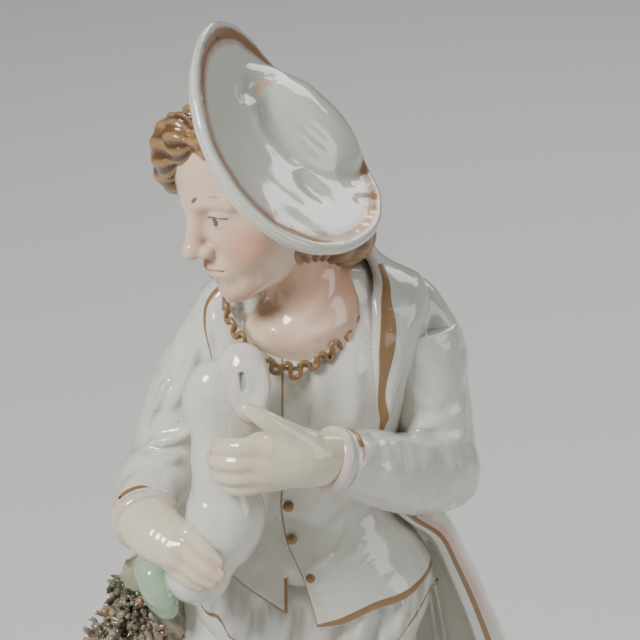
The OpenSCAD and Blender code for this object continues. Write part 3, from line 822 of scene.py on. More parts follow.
def shoulder_paint(p):
    """The part of the coat's right stripe that runs over the shoulder on to the sleeve's moulding."""
    marks = coat_paint(p)
    return {"gilt": np.where((p[:, 2] > 136) & (p[:, 0] < 0), marks["gilt"], -9)}


def coat_paint(p):
    left, right = coat_edges(p)
    z = p[:, 2]
    broad = 0.45 + 0.75 * np.exp(-((z - 147.0) / 4.5) ** 2)
    stripe = np.where(z < 156.6, broad - np.abs(left - 0.4 - broad), -9)
    fine = 0.14 + 0.3 * ramp(z, 143, 155)
    thin = np.where((z > 112) & (z < 158), fine - np.abs(right - 0.8), -9)
    pink = ramp(z, 88, 100) * (1 - ramp(z, 112, 118)) * np.clip(1.5 - np.abs(left - 2.0), 0, 1)
    return {"gilt": np.maximum(stripe, thin), "pink": pink}


# ---------------------------------------------------------------- sleeves and cuffs
LEFT_ARM = [(15.6, 2.0, 146.8, 6.5), (18.2, 2.2, 142.0, 6.8), (19.6, 1.4, 134.0, 6.3),
            (20.8, 0.2, 127.0, 6.1), (21.2, -1.8, 122.6, 6.2)]
LEFT_FOREARM = [(21.2, -1.8, 122.6, 6.2), (18.0, -7.6, 125.0, 6.2), (12.6, -14.2, 129.4, 5.8),
                (6.4, -20.4, 134.0, 4.7)]
RIGHT_ARM = [(-10.6, 2.4, 146.0, 5.7), (-13.0, 2.2, 142.4, 6.0), (-16.2, 1.4, 136.6, 6.0),
             (-18.5, -0.2, 130.0, 6.0), (-20.2, -3.0, 123.8, 6.0)]
RIGHT_FOREARM = [(-20.2, -3.0, 123.8, 6.0), (-21.6, -7.5, 123.4, 5.9), (-22.4, -12.0, 122.9, 5.1),
                 (-22.6, -15.8, 122.4, 4.0)]
LEFT_WRIST, RIGHT_WRIST = vec(4.9, -21.6, 135.0), vec(-22.7, -16.6, 122.2)
LEFT_WAY, RIGHT_WAY = unit((-0.72, -0.58, 0.36)), unit((0.22, -0.97, -0.02))
LEFT_SLEEVE_FOLDS = [
    ([(17.0, -5.0, 127.5), (21.0, -5.6, 129.0), (25.5, -2.6, 129.5)], 0.9, 0.75),
    ([(15.6, -4.2, 130.5), (20.0, -4.6, 132.6), (25.6, -1.6, 133.5)], 1.0, 0.6),
    ([(16.4, -8.0, 129.5), (21.0, -8.0, 127.5), (25.0, -5.0, 124.5)], 1.0, 0.7),
    ([(13.0, -11.5, 131.5), (18.0, -12.6, 129.5), (21.6, -10.5, 124.5)], 1.2, 0.6),
    ([(14.6, -3.6, 143.5), (17.2, -4.0, 137.5), (21.6, -4.2, 134.5)], 1.2, 0.6),
    ([(9.0, -16.0, 135.0), (13.0, -18.6, 131.6), (14.6, -17.0, 125.5)], 1.3, 0.45),
    ([(20.0, 6.6, 144.0), (23.0, 6.6, 136.0), (25.0, 5.4, 129.0)], 1.3, 0.5),
]
RIGHT_SLEEVE_FOLDS = [
    ([(-15.5, -3.6, 146.0), (-17.0, -4.6, 139.5), (-20.5, -5.4, 134.0)], 1.1, 0.8),
    ([(-19.5, -3.8, 141.0), (-21.6, -4.4, 136.0), (-24.0, -5.0, 131.0)], 1.0, 0.6),
    ([(-15.0, -5.4, 132.0), (-18.5, -7.4, 131.0), (-24.0, -6.4, 130.0)], 0.9, 0.8),
    ([(-16.0, -8.6, 128.5), (-20.0, -10.0, 129.0), (-25.4, -8.0, 127.0)], 0.9, 0.6),
    ([(-26.4, -4.0, 122.0), (-26.8, -9.0, 121.5), (-26.6, -13.0, 122.0)], 1.1, 0.45),
]


def wrinkled(p, d, rows, size, seed):
    """A sleeve's smooth distance with its folds and its small unevenness laid on near the skin."""
    near = np.abs(d) < 3.5
    here = p[near]
    d[near] -= (1.7 * folds(here, rows) + 0.26 * noise(here, size, seed)
                + 0.1 * noise(here, 0.5 * size, seed + 1))
    return d


def left_sleeve(p):
    d = blend(limb(p, LEFT_ARM), limb(p, LEFT_FOREARM), 1.2)
    return wrinkled(p, d, LEFT_SLEEVE_FOLDS, 3.6, 21)


def right_sleeve(p):
    d = blend(limb(p, RIGHT_ARM), limb(p, RIGHT_FOREARM), 1.2)
    return wrinkled(p, d, RIGHT_SLEEVE_FOLDS, 3.6, 23)


def past(p, point, way):
    """Distance past a plane through point, along way."""
    return (p - vec(*point)) @ unit(way)


LEFT_ELBOW_SEAM = ((20.8, -2.8, 124.4), (-0.55, -0.75, 0.2))
RIGHT_ELBOW_SEAM = ((-20.6, -4.6, 124.4), (0.0, -1.0, -0.25))


def left_upper_field(p):
    return upper_sleeve(p, left_sleeve(p) + feather(past(p, *LEFT_ELBOW_SEAM)) * 1.5, ARMHOLES[0])


def left_forearm_field(p):
    d = left_sleeve(p) + feather(-past(p, *LEFT_ELBOW_SEAM)) * 1.5
    return meet(d, past(p, LEFT_WRIST, LEFT_WAY) + 0.8, 0.6)


def right_upper_field(p):
    return upper_sleeve(p, right_sleeve(p) + feather(past(p, *RIGHT_ELBOW_SEAM)) * 1.5, ARMHOLES[1])


def right_forearm_field(p):
    d = right_sleeve(p) + feather(-past(p, *RIGHT_ELBOW_SEAM)) * 1.5
    return meet(d, past(p, RIGHT_WRIST, RIGHT_WAY) + 0.8, 0.6)


def cuff(p, wrist, way, radius, tall):
    """A rolled cuff round the end of a sleeve."""
    axis = unit(way)
    q = p - wrist
    s = q @ axis
    side = square_to((0, 0, 1), axis)
    other = np.cross(axis, side)
    r = np.hypot(q @ other, (q @ side) / tall)
    bulge = radius + 0.35 * np.exp(-((s + 1.8) / 0.9) ** 2) + 0.45 * np.exp(-((s - 0.4) / 1.0) ** 2)
    d = meet(r - bulge, np.abs(s + 0.7) - 2.3, 1.1)
    return meet(d, -meet(r - radius + 0.9, -(s + 0.2), 0.4), 0.7), s


def left_cuff_field(p):
    return cuff(p, LEFT_WRIST, LEFT_WAY, 4.2, 1.06)[0]


def right_cuff_field(p):
    return cuff(p, RIGHT_WRIST, RIGHT_WAY, 4.9, 0.94)[0]


def cuff_paint(wrist, way):
    def paint(p):
        q = p - wrist
        s = q @ unit(way)
        up = q @ square_to((0, 0, 1), unit(way))
        band = 0.8 - np.abs(s + 1.9)
        rim = 0.5 * (1 - ramp(np.abs(s - 1.2), 0.2, 0.9))
        return {"pink": np.clip(band * 2, rim, 1), "gilt": np.minimum(band, np.abs(up) - 3.2)}
    return paint


# ---------------------------------------------------------------- hands
def finger(p, points, r0, r1):
    n = len(points)
    rows = [(*pt, r0 + (r1 - r0) * i / (n - 1)) for i, pt in enumerate(points)]
    return limb(p, rows, 3)


LEFT_FINGERS = [
    [(-4.6, -27.4, 140.0), (-8.2, -28.2, 140.4), (-10.8, -27.0, 139.8), (-11.6, -24.6, 138.8)],
    [(-4.8, -27.8, 138.2), (-8.7, -28.8, 138.2), (-11.6, -27.3, 137.7), (-12.4, -24.6, 136.9)],
    [(-4.8, -27.6, 136.2), (-8.5, -28.6, 135.9), (-11.3, -27.1, 135.5), (-12.1, -24.6, 134.9)],
    [(-4.4, -27.0, 134.6), (-7.7, -27.9, 133.9), (-10.1, -26.8, 133.6), (-10.9, -24.6, 133.2)],
]


def left_hand_field(p):
    d = limb(p, [(6.0, -20.6, 134.4, 4.3), (3.4, -23.0, 135.8, 4.3), (0.2, -25.4, 136.8, 4.3),
                 (-4.0, -26.6, 137.2, 4.0)],
             4, flat=((0.25, -0.95, -0.1), 1.3))
    d = blend(d, oval(p, (-5.0, -26.4, 137.2), (4.6, 2.4, 4.6)), 1.6)
    for path in LEFT_FINGERS:
        d = blend(d, finger(p, path, 1.5, 1.15), 0.8)
    d = blend(d, finger(p, [(0.8, -25.2, 139.6), (-2.4, -26.6, 142.4), (-5.2, -27.2, 144.6),
                            (-7.4, -26.8, 145.8)],
                        2.0, 1.0), 1.3)
    return d


RIGHT_FINGERS = [
    [(-16.2, -24.4, 124.2), (-13.8, -26.2, 122.4), (-12.0, -26.8, 120.7)],
    [(-17.0, -25.2, 122.6), (-13.9, -27.2, 120.7), (-11.8, -27.6, 119.2)],
    [(-18.0, -25.2, 121.0), (-14.9, -27.0, 119.1), (-12.8, -27.3, 117.9)],
    [(-18.8, -24.6, 119.6), (-16.3, -26.2, 117.9), (-14.3, -26.5, 117.0)],
]


def right_hand_field(p):
    d = limb(p, [(-23.3, -14.0, 122.8, 4.6), (-22.6, -17.4, 122.6, 4.6), (-20.6, -21.0, 122.2, 4.3),
                 (-17.6, -24.0, 121.6, 3.6)],
             4, flat=((0.1, -0.75, 0.65), 1.3))
    for path in RIGHT_FINGERS:
        d = blend(d, finger(p, path, 1.5, 1.2), 0.45)
    return d


def hand_paint(fingers):
    """Rosy shading in the grooves between the fingers."""
    def paint(p):
        near = np.sort(np.stack([path_distance(p, f, 2)[0] for f in fingers]), axis=0)
        # Painted shade: a rosy darkening in the grooves where two fingers lie close
        groove = 1 - ramp(near[1] - near[0], 0.0, 0.9)
        tips = 1 - ramp(np.min([length(p - vec(*f[-1])) for f in fingers], axis=0), 0.5, 3.0)
        return {"blush_and_shade": np.clip(0.4 * groove * (near[0] < 2.2) + 0.3 * tips, 0, 1), "pale": np.ones(len(p))}
    return paint


# ---------------------------------------------------------------- sack
SACK_FOLDS = [
    ([(-16.6, -21.6, 143.0), (-14.6, -24.0, 139.0), (-13.4, -25.0, 134.0)], 0.9, 0.5),
    ([(-12.2, -22.6, 144.0), (-11.6, -24.0, 140.5), (-11.4, -24.6, 137.0)], 0.9, 0.55),
    ([(-17.5, -20.4, 131.0), (-15.0, -24.0, 129.0), (-12.0, -25.4, 126.0)], 1.2, 0.5),
    ([(-16.5, -21.5, 126.5), (-13.0, -25.0, 123.5), (-9.0, -25.0, 121.0)], 1.3, 0.4),
]


def sack_field(p):
    d = oval(p, (-12.2, -17.0, 142.4), (4.9, 4.4, 6.4))
    d = blend(d, oval(p, (-8.4, -17.6, 141.0), (4.0, 3.4, 6.0)), 2.0)
    d = blend(d, oval(p, (-11.4, -19.0, 133.4), (4.5, 5.0, 6.4)), 3.0)
    d = blend(d, oval(p, (-10.9, -19.6, 124.6), (5.9, 6.2, 7.4)), 2.5)
    d = blend(d, oval(p, (-15.4, -19.4, 114.4), (4.6, 4.4, 4.2)), 3.0)
    d = blend(d, rod(p, (-12.5, -19.5, 120), (-14.6, -19.5, 115.5), 4.8, 4.2), 2.0)
    return d - folds(p, SACK_FOLDS) - 0.12 * noise(p, 4.0, 31)


MOUTH_CENTRE = (-7.2, -20.4, 146.0)
MOUTH_AXES = np.stack([unit((0.97, -0.1, 0.1)), square_to((0.1, -0.85, 0.45), unit((0.97, -0.1, 0.1))),
                       np.cross(unit((0.97, -0.1, 0.1)),
                                square_to((0.1, -0.85, 0.45), unit((0.97, -0.1, 0.1))))])


def in_mouth(p):
    return (p - vec(*MOUTH_CENTRE)) @ MOUTH_AXES.T


def sack_mouth_field(p):
    q = in_mouth(p)
    d = oval(q, (0, -0.9, -0.4), (3.1, 1.7, 5.6))
    d = blend(d, oval(q, (-1.6, -1.4, -2.0), (3.4, 2.0, 4.6)), 1.5)
    d = carve(d, oval(q, (0.3, 2.2, 0.6), (2.2, 2.0, 3.6)), 1.4)
    d = blend(d, oval(q, (-0.7, -0.1, -1.4), (1.2, 0.6, 2.2)), 1.0)
    d = carve(d, rod(q, (-0.9, 0.5, -1.9), (-0.7, 0.5, 0.2), 0.34), 0.4)
    return d - 0.06 * noise(p, 2.4, 33)


def mouth_paint(p):
    q = in_mouth(p)
    # Painted shadow: a dark slit over the carved opening in the sack's gather
    slit_shadow = rod(q, (-0.9, 0.2, -1.9), (-0.7, 0.2, 0.2), 0.3)
    rim = 1 - ramp(np.abs(length(q / vec(3.3, 3.0, 5.4)) - 0.95), 0.05, 0.3)
    return {"pink": 0.3 * rim + 0.25 * ramp(q[:, 2], 2.5, 5), "slit_shadow": 0.12 - slit_shadow}


# ---------------------------------------------------------------- breeches and legs
def thigh(p, hip, knee, r):
    h, k = vec(*hip), vec(*knee)
    rows = [(*(h + (k - h) * t), r * w) for t, w in ((-0.05, 1.12), (0.2, 1.12), (0.5, 1.0), (0.85, 0.8),
                                                     (1.0, 0.76), (1.05, 0.72))]
    return limb(p, rows, 3)


LEFT_HIP, LEFT_KNEE, LEFT_ANKLE = (8.8, 1.0, 92), (9.6, -0.5, 55), (9.6, 2.8, 20)
RIGHT_HIP, RIGHT_KNEE, RIGHT_ANKLE = (-7.4, 1.0, 92), (-8.4, -5.5, 55), (-7.6, -2.2, 20)


def apron_hem(x):
    """Height of the gathered shirt tail's scalloped edge."""
    return 92.4 + 0.032 * (x - 3.0) ** 2 + 0.8 * np.sin(x + 0.6)


def breeches_field(p):
    x, y, z = p.T
    d = stack(p, [(82, 0.6, 1.0, 9, 8), (87, 0.6, 0.6, 14.5, 10.8), (94, 0.8, 0.2, 17.4, 12.4),
                  (100, 0.9, 0, 19.4, 13.2), (106, 0.8, 0, 18.2, 12.4), (112, 0.6, 0, 13.6, 9.6)])
    d = blend(d, thigh(p, LEFT_HIP, LEFT_KNEE, 8.0), 2.5)
    d = blend(d, thigh(p, RIGHT_HIP, RIGHT_KNEE, 8.0), 2.5)
    front = ramp(-y, -2, 3)
    tail = ramp(z - apron_hem(x), -0.2, 0.35) * front
    puffs = np.sin(x + 1.1 * np.sin(z * 0.35)) * 0.95 + np.sin(x * 2.1 - z * 0.25) * 0.3
    d -= tail * (1.0 + puffs * ramp(108 - z, 0, 5))
    d += 0.25 * np.exp(-((z - 57.5) / 0.7) ** 2) * (z < 70)
    d -= folds(p, [
        ([(4.0, -8.0, 88), (9.0, -8.6, 80), (14.0, -6.0, 74)], 1.3, 0.5),
        ([(13.0, -6.0, 66), (10.0, -7.6, 62), (5.0, -6.0, 60)], 1.0, 0.5),
        ([(-2.0, -9.0, 87), (-7.0, -10.0, 80), (-13.0, -8.5, 75)], 1.3, 0.5),
        ([(-12.6, -10.0, 66), (-9.0, -12.0, 62), (-4.0, -10.0, 60)], 1.0, 0.5),
    ])
    return d - 0.12 * noise(p, 4.0, 41)


def breeches_paint(p):
    x, y, z = p.T
    hem = np.where(y < 1, 0.36 - np.abs(z - apron_hem(x) - 0.5), -9)
    band = np.where(z < 62, 0.35 - np.abs(z - 55.6), -9)
    return {"gilt": np.maximum(hem, band)}


def stocking(p, knee, ankle):
    k, a = vec(*knee), vec(*ankle)
    rows = [(*(k + (a - k) * t + vec(0, back, 0)), r) for t, back, r in
            ((-0.03, 0, 5.2), (0.12, 0.6, 5.1), (0.3, 1.4, 5.4), (0.5, 1.0, 4.7), (0.75, 0.2, 3.4),
             (0.93, 0, 2.9), (1.1, 0, 3.3))]
    return limb(p, rows, 4) - 0.05 * noise(p, 4.0, 43)


FLOOR = 11.4
LEFT_TURN, RIGHT_TURN = 0.34, -0.3


def in_shoe(p, ankle, turn):
    """Coordinates in a shoe: -Y towards its toe, and Z up from the ground."""
    c, s = math.cos(turn), math.sin(turn)
    q = p - vec(ankle[0], ankle[1], FLOOR)
    return np.stack([c * q[:, 0] + s * q[:, 1], c * q[:, 1] - s * q[:, 0], q[:, 2]], 1)


def shoe(p, ankle, turn):
    """A low shoe with a heel, a rounded toe and a tongue."""
    q = in_shoe(p, ankle, turn)
    d = limb(q, [(0, 2.6, 3.4, 3.2), (0, -0.5, 3.6, 3.5), (0, -5, 2.9, 3.4), (0, -9.5, 2.1, 3.1),
                 (0, -12.2, 1.7, 2.4)], 4)
    d = blend(d, rod(q, (0, 0.4, 4.0), (0, 0.6, 6.4), 3.5, 3.4), 1.5)
    d = carve(d, oval(q, (0, 0.6, 8.2), (3.0, 3.2, 1.2)), 0.4)
    tongue = meet(oval(q, (0, -5.0, 5.4), (2.1, 0.8, 2.4)), -oval(q, (0, -4.0, 5.4), (2.0, 0.7, 2.6)), 0.3)
    d = blend(d, tongue, 0.5)
    sole = meet(oval(q, (0, -4.6, 0.3), (4.0, 9.0, 2.4)), np.abs(q[:, 2] - 0.2) - 0.75, 0.3)
    d = blend(meet(d, 0.3 - q[:, 2], 0.4), sole, 0.25)
    return d


def left_shoe_field(p):
    return shoe(p, LEFT_ANKLE, LEFT_TURN)


def right_shoe_field(p):
    return shoe(p, RIGHT_ANKLE, RIGHT_TURN)


def left_stocking_field(p):
    return stocking(p, LEFT_KNEE, LEFT_ANKLE)


def right_stocking_field(p):
    return stocking(p, RIGHT_KNEE, RIGHT_ANKLE)


def buckles_field(p):
    d = None
    for ankle, turn in ((LEFT_ANKLE, LEFT_TURN), (RIGHT_ANKLE, RIGHT_TURN)):
        q = in_shoe(p, ankle, turn) - vec(0, -6.4, 5.55)
        tilt = 0.42
        q = np.stack([q[:, 0], math.cos(tilt) * q[:, 1] - math.sin(tilt) * q[:, 2],
                      math.sin(tilt) * q[:, 1] + math.cos(tilt) * q[:, 2]], 1)
        frame_d = np.maximum(np.abs(q[:, 0]) - 2.0, np.abs(q[:, 1]) - 1.4)
        ring = np.hypot(frame_d, q[:, 2] + 0.035 * q[:, 0] ** 2) - 0.38
        pin = rod(q, (-1.9, 0, 0), (1.9, 0, 0), 0.22)
        ring = blend(ring, pin, 0.2)
        d = ring if d is None else np.minimum(d, ring)
    return d


# ---------------------------------------------------------------- base, stump and moss
STUMP_LEVELS = [
    (6, -24, 6, 15.6, 13.4), (12, -24, 6, 14.8, 12.8), (18, -25, 6, 12.6, 11.2), (32, -26, 5, 10.8, 10.2),
    (48, -25, 5, 11.2, 9.8), (64, -27, 4, 10.2, 9.2), (80, -26, 3, 10.6, 9.2), (90, -24.5, 1.6, 8.0, 8.0),
    (96, -23.2, 0.4, 6.2, 6.8), (102, -23, -0.6, 4.8, 5.4), (106, -23, -1.6, 3.2, 3.6),
]


def base_field(p):
    x, y, z = p.T
    turn = np.arctan2(y / 34, x / 42)
    reach = 1 + 0.022 * np.sin(5 * turn + 0.4) + 0.012 * np.sin(11 * turn)
    rim = np.hypot(x / (41.2 * reach), y / (33.4 * reach))
    bulge = 0.955 + 0.035 * np.sin(np.clip(z / 8.5, 0, 1) * math.pi) ** 0.8
    side = (rim - bulge) * 34
    top = z - (9.2 + 3.2 * (1 - ramp(rim, 0.15, 0.95)) + 0.5 * noise(p * vec(1, 1, 0.4), 6, 51))
    d = meet(side, top * 0.95, 3.2)
    d -= ramp(z, 2.5, 6) * (0.45 * noise(p, 3.4, 52) + 0.2 * noise(p, 1.5, 53))
    d = meet(d, -z, 0.25)
    vent = meet(np.hypot(x - 16, y) - 4, z - 6, 0.4)
    hollow = oval(p, (0, 0, 5.5), (32, 25, 2.6))
    return carve(carve(d, vent, 0.3), hollow, 0.5)


def rock_lumps(p):
    """Craggy rockwork: ridges between soft cells."""
    a = noise(p, 5.2, 61)
    b = noise(p, 2.6, 62)
    c = noise(p, 1.2, 63)
    return 1.7 * (0.5 - np.abs(a)) + 0.9 * (0.5 - np.abs(b)) + 0.42 * c


def stump_field(p):
    d = stack(p, STUMP_LEVELS)
    return d - rock_lumps(p) * ramp(p[:, 2], 4, 12)


MOSS_SEED = 5
TONE_SEED = 9
MOSS_COUNT = 1500
WORM_SIDES, WORM_RINGS = 7, 5


def moss_lines():
    """Shreds of clay: root, bend, tip and thickness of short crooked worms, thickest in clumps."""
    count = MOSS_COUNT
    rng = np.random.default_rng(MOSS_SEED)
    clumps = np.array([(200, 22), (250, 30), (160, 40), (215, 54), (268, 46), (180, 66), (235, 76), (150, 84),
                       (205, 92), (250, 97), (185, 101), (225, 104), (290, 88), (300, 60), (120, 60),
                       (90, 30), (60, 70)], np.float32)
    pick = clumps[rng.integers(0, len(clumps), count)] + rng.normal(0, 1, (count, 2)) * (17, 4.2)
    table = smooth_path(STUMP_LEVELS, 8)
    z = np.clip(pick[:, 1], 14, 102)
    cx, cy, rx, ry = (np.interp(z, table[:, 0], table[:, k]) for k in (1, 2, 3, 4))
    a = np.radians(pick[:, 0])
    root = np.stack([cx + rx * np.cos(a), cy + ry * np.sin(a), z], 1)
    out = np.stack([np.cos(a), np.sin(a), 0.25 * np.ones(count)], 1)
    lean = rng.normal(0, 0.6, (count, 3))
    root = root + out * rng.uniform(-0.4, 1.2, (count, 1))
    tip = root + (0.4 * out + 1.2 * lean) * rng.uniform(0.7, 1.4, (count, 1))
    bend = (root + tip) / 2 + rng.normal(0, 0.5, (count, 3))
    thick = rng.uniform(0.3, 0.65, count)
    return root.astype(np.float32), bend.astype(np.float32), tip.astype(np.float32), thick


def green_stone_field(p):
    d = limb(p, [(-23.6, -5.6, 108.4, 1.9), (-22.6, -7.2, 107.0, 2.8), (-21.4, -8.4, 104.6, 2.7),
                 (-20.6, -8.8, 102.6, 1.9)], 4)
    d -= fold(p, [(-25.0, -9.0, 106.5), (-22.6, -11.6, 104.4), (-20.8, -12.2, 102.4)], 0.8, 0.5)
    return d - 0.12 * noise(p, 2.2, 71)


# ---------------------------------------------------------------- finishes
class Paint:
    """Small helpers that wire one material's nodes."""

    def __init__(self, name):
        self.material = bpy.data.materials.new(name)
        self.material.use_nodes = True
        self.tree = self.material.node_tree
        self.shader = self.tree.nodes["Principled BSDF"]
        self.place = self.tree.nodes.new("ShaderNodeTexCoord").outputs["Object"]

    def link(self, value, socket):
        if isinstance(value, (int, float, tuple)):
            socket.default_value = value
        else:
            self.tree.links.new(value, socket)

    def attribute(self, name):
        node = self.tree.nodes.new("ShaderNodeAttribute")
        node.attribute_name = name
        return node.outputs["Fac"]

    def math(self, operation, a, b):
        node = self.tree.nodes.new("ShaderNodeMath")
        node.operation = operation
        self.link(a, node.inputs[0])
        self.link(b, node.inputs[1])
        return node.outputs[0]

    def times(self, a, b):
        return self.math("MULTIPLY", a, b)

    def noise(self, size, detail=2.0, seed=0.0):
        """Noise with features of about size millimetres, from 0 to 1."""
        node = self.tree.nodes.new("ShaderNodeTexNoise")
        node.inputs["Scale"].default_value = 1 / (size * METRE)
        node.inputs["Detail"].default_value = detail
        mapping = self.tree.nodes.new("ShaderNodeMapping")
        mapping.inputs["Location"].default_value = (seed, seed * 0.7, seed * 1.3)
        self.tree.links.new(self.place, mapping.inputs["Vector"])
        self.tree.links.new(mapping.outputs[0], node.inputs["Vector"])
        return node.outputs["Fac"]

    def step(self, value, low, high):
        """0 where value is below low, 1 where it is above high."""
        node = self.tree.nodes.new("ShaderNodeMapRange")
        node.interpolation_type = "SMOOTHSTEP"
        node.clamp = True
        self.link(value, node.inputs["Value"])
        self.link(low, node.inputs["From Min"])
        self.link(high, node.inputs["From Max"])
        return node.outputs["Result"]

    def spots(self, size, radius, seed=0.0):
        """1 in small round spots about size apart, 0 elsewhere."""
        node = self.tree.nodes.new("ShaderNodeTexVoronoi")
        node.inputs["Scale"].default_value = 1 / (size * METRE)
        mapping = self.tree.nodes.new("ShaderNodeMapping")
        mapping.inputs["Location"].default_value = (seed, seed, seed)
        self.tree.links.new(self.place, mapping.inputs["Vector"])
        self.tree.links.new(mapping.outputs[0], node.inputs["Vector"])
        return self.math("SUBTRACT", 1.0, self.step(node.outputs["Distance"], radius * 0.6, radius))

    def mix(self, factor, a, b):
        node = self.tree.nodes.new("ShaderNodeMix")
        node.data_type = "RGBA"
        node.clamp_factor = True
        self.link(factor, node.inputs["Factor"])
        self.link(a, node.inputs[6])
        self.link(b, node.inputs[7])
        return node.outputs[2]

    def blend(self, factor, a, b):
        node = self.tree.nodes.new("ShaderNodeMix")
        node.data_type = "FLOAT"
        node.clamp_factor = True
        self.link(factor, node.inputs["Factor"])
        self.link(a, node.inputs["A"])
        self.link(b, node.inputs["B"])
        return node.outputs[0]

    def bump(self, height, strength, distance=0.1):
        node = self.tree.nodes.new("ShaderNodeBump")
        node.inputs["Strength"].default_value = strength
        node.inputs["Distance"].default_value = distance * METRE
        self.link(height, node.inputs["Height"])
        self.tree.links.new(node.outputs[0], self.shader.inputs["Normal"])

    def finish(self, colour, roughness, metallic=0.0, coat=0.5, subsurface=0.0):
        self.link(colour, self.shader.inputs["Base Color"])
        self.link(roughness, self.shader.inputs["Roughness"])
        self.link(metallic, self.shader.inputs["Metallic"])
        self.shader.inputs["Coat Weight"].default_value = coat
        self.shader.inputs["Coat Roughness"].default_value = 0.04
        if subsurface:
            self.shader.inputs["Subsurface Weight"].default_value = subsurface
            self.shader.inputs["Subsurface Radius"].default_value = (0.9, 0.8, 0.7)
            self.shader.inputs["Subsurface Scale"].default_value = 0.6 * METRE
        return self.material


WHITE = (0.75, 0.74, 0.66, 1)
# WHITE_DEEP: darker grey-green, for random clouding, and for glaze pooling and painted shade in hollows
WHITE_DEEP = (0.36, 0.39, 0.32, 1)
GOLD = (0.56, 0.35, 0.10, 1)
GOLD_WORN = (0.30, 0.17, 0.07, 1)
PINK = (0.72, 0.36, 0.30, 1)
FLESH = (0.78, 0.55, 0.39, 1)
FLESH_ROSY = (0.68, 0.28, 0.18, 1)
SPECK = (0.30, 0.17, 0.07, 1)


def white_body(paint):
    """The glaze's colour: whiter on the high parts, greyer green in the hollows, which is glaze pooling and
    painted shade together, with a few kiln specks.
    """
    pool = paint.step(paint.attribute("pool"), 0.08, 0.6)
    cloud = paint.noise(9, 3, 2.0)
    colour = paint.mix(paint.times(cloud, 0.25), WHITE, WHITE_DEEP)
    # Painted shade with glaze pooling: hollows mixed towards the darker grey-green
    colour = paint.mix(paint.times(pool, 0.75), colour, WHITE_DEEP)
    specks = paint.times(paint.spots(3.4, 0.06, 3.0), paint.step(paint.noise(7, 1, 5.0), 0.46, 0.58))
    return paint.mix(paint.times(specks, 0.75), colour, SPECK)


def gild(paint, colour, gilt, wear=0.5):
    """Lays worn gold over colour where gilt is 1; returns colour, metal and roughness."""
    rub = paint.math("ADD", paint.noise(1.1, 4, 8.0), paint.times(paint.noise(5, 1, 9.0), 0.5))
    kept = paint.step(rub, 0.52 + 0.26 * wear, 0.40 + 0.26 * wear)
    tone = paint.mix(paint.noise(0.6, 2, 4.0), GOLD, (0.42, 0.25, 0.06, 1))
    gold = paint.mix(kept, GOLD_WORN, tone)
    metal = paint.times(gilt, paint.blend(kept, 0.15, 1.0))
    return paint.mix(gilt, colour, gold), metal, paint.blend(gilt, 0.1, paint.blend(kept, 0.42, 0.26))


def white_glaze():
    paint = Paint("white_glaze")
    colour = white_body(paint)
    pink = paint.times(paint.attribute("pink"), 0.7)
    colour = paint.mix(pink, colour, PINK)
    gilt = paint.step(paint.attribute("gilt"), -0.05, 0.06)
    colour, metal, rough = gild(paint, colour, gilt, 0.35)
    # Painted shadow: near black inside the sack's opening
    slit_shadow = paint.step(paint.attribute("slit_shadow"), 0.0, 0.08)
    colour = paint.mix(slit_shadow, colour, (0.03, 0.02, 0.02, 1))
    paint.bump(paint.math("ADD", paint.noise(2.4, 3), paint.times(gilt, 0.3)), 0.5, 0.25)
    return paint.finish(colour, rough, metal, 0.6)


def hat_glaze():
    paint = Paint("hat_glaze")
    colour = white_body(paint)
    edge = paint.attribute("edge")
    waver = paint.times(paint.math("SUBTRACT", paint.noise(2.2, 2, 6.0), 0.5), 0.7)
    near = paint.math("ADD", edge, waver)
    inner = paint.math("SUBTRACT", 1.0, paint.step(near, 3.0, 3.7))
    band = paint.times(paint.step(near, 0.75, 1.15), inner)
    lustre = paint.mix(paint.noise(3, 3, 12.0), (0.47, 0.31, 0.30, 1), (0.62, 0.44, 0.38, 1))
    colour = paint.mix(paint.times(band, 0.85), colour, lustre)
    core = paint.times(paint.step(near, 1.0, 1.4), paint.math("SUBTRACT", 1.0, paint.step(near, 2.3, 2.9)))
    colour, metal, rough = gild(paint, colour, core, 0.55)
    paint.bump(paint.noise(2.0, 2), 0.35, 0.12)
    return paint.finish(colour, rough, metal, 0.6)


def flesh_glaze():
    paint = Paint("flesh_glaze")
    pool = paint.step(paint.attribute("pool"), 0.1, 0.8)
    colour = paint.mix(paint.noise(6, 2, 3.0), FLESH, (0.80, 0.62, 0.46, 1))
    colour = paint.mix(paint.times(paint.attribute("pale"), 0.85), colour, (0.74, 0.70, 0.52, 1))
    # This mark carries painted cheek blush and warm tones, and painted shade between the fingers
    colour = paint.mix(paint.times(paint.attribute("blush_and_shade"), 0.75), colour, FLESH_ROSY)
    # Painted shade with glaze pooling: hollows mixed towards a darker red-brown
    colour = paint.mix(paint.times(pool, 0.45), colour, (0.55, 0.26, 0.18, 1))
    for name, tone, low, high in (("brow", (0.25, 0.13, 0.06, 1), -0.08, 0.12),
                                  ("lips", (0.62, 0.17, 0.13, 1), -0.12, 0.12),
                                  ("lash", (0.10, 0.05, 0.04, 1), -0.05, 0.05),
                                  ("iris", (0.10, 0.07, 0.05, 1), -0.05, 0.08),
                                  ("mouth", (0.35, 0.08, 0.06, 1), -0.05, 0.05)):
        colour = paint.mix(paint.step(paint.attribute(name), low, high), colour, tone)
    paint.bump(paint.noise(2.0, 2), 0.2, 0.1)
    return paint.finish(colour, paint.blend(pool, 0.14, 0.24), 0.0, 0.5, 0.15)


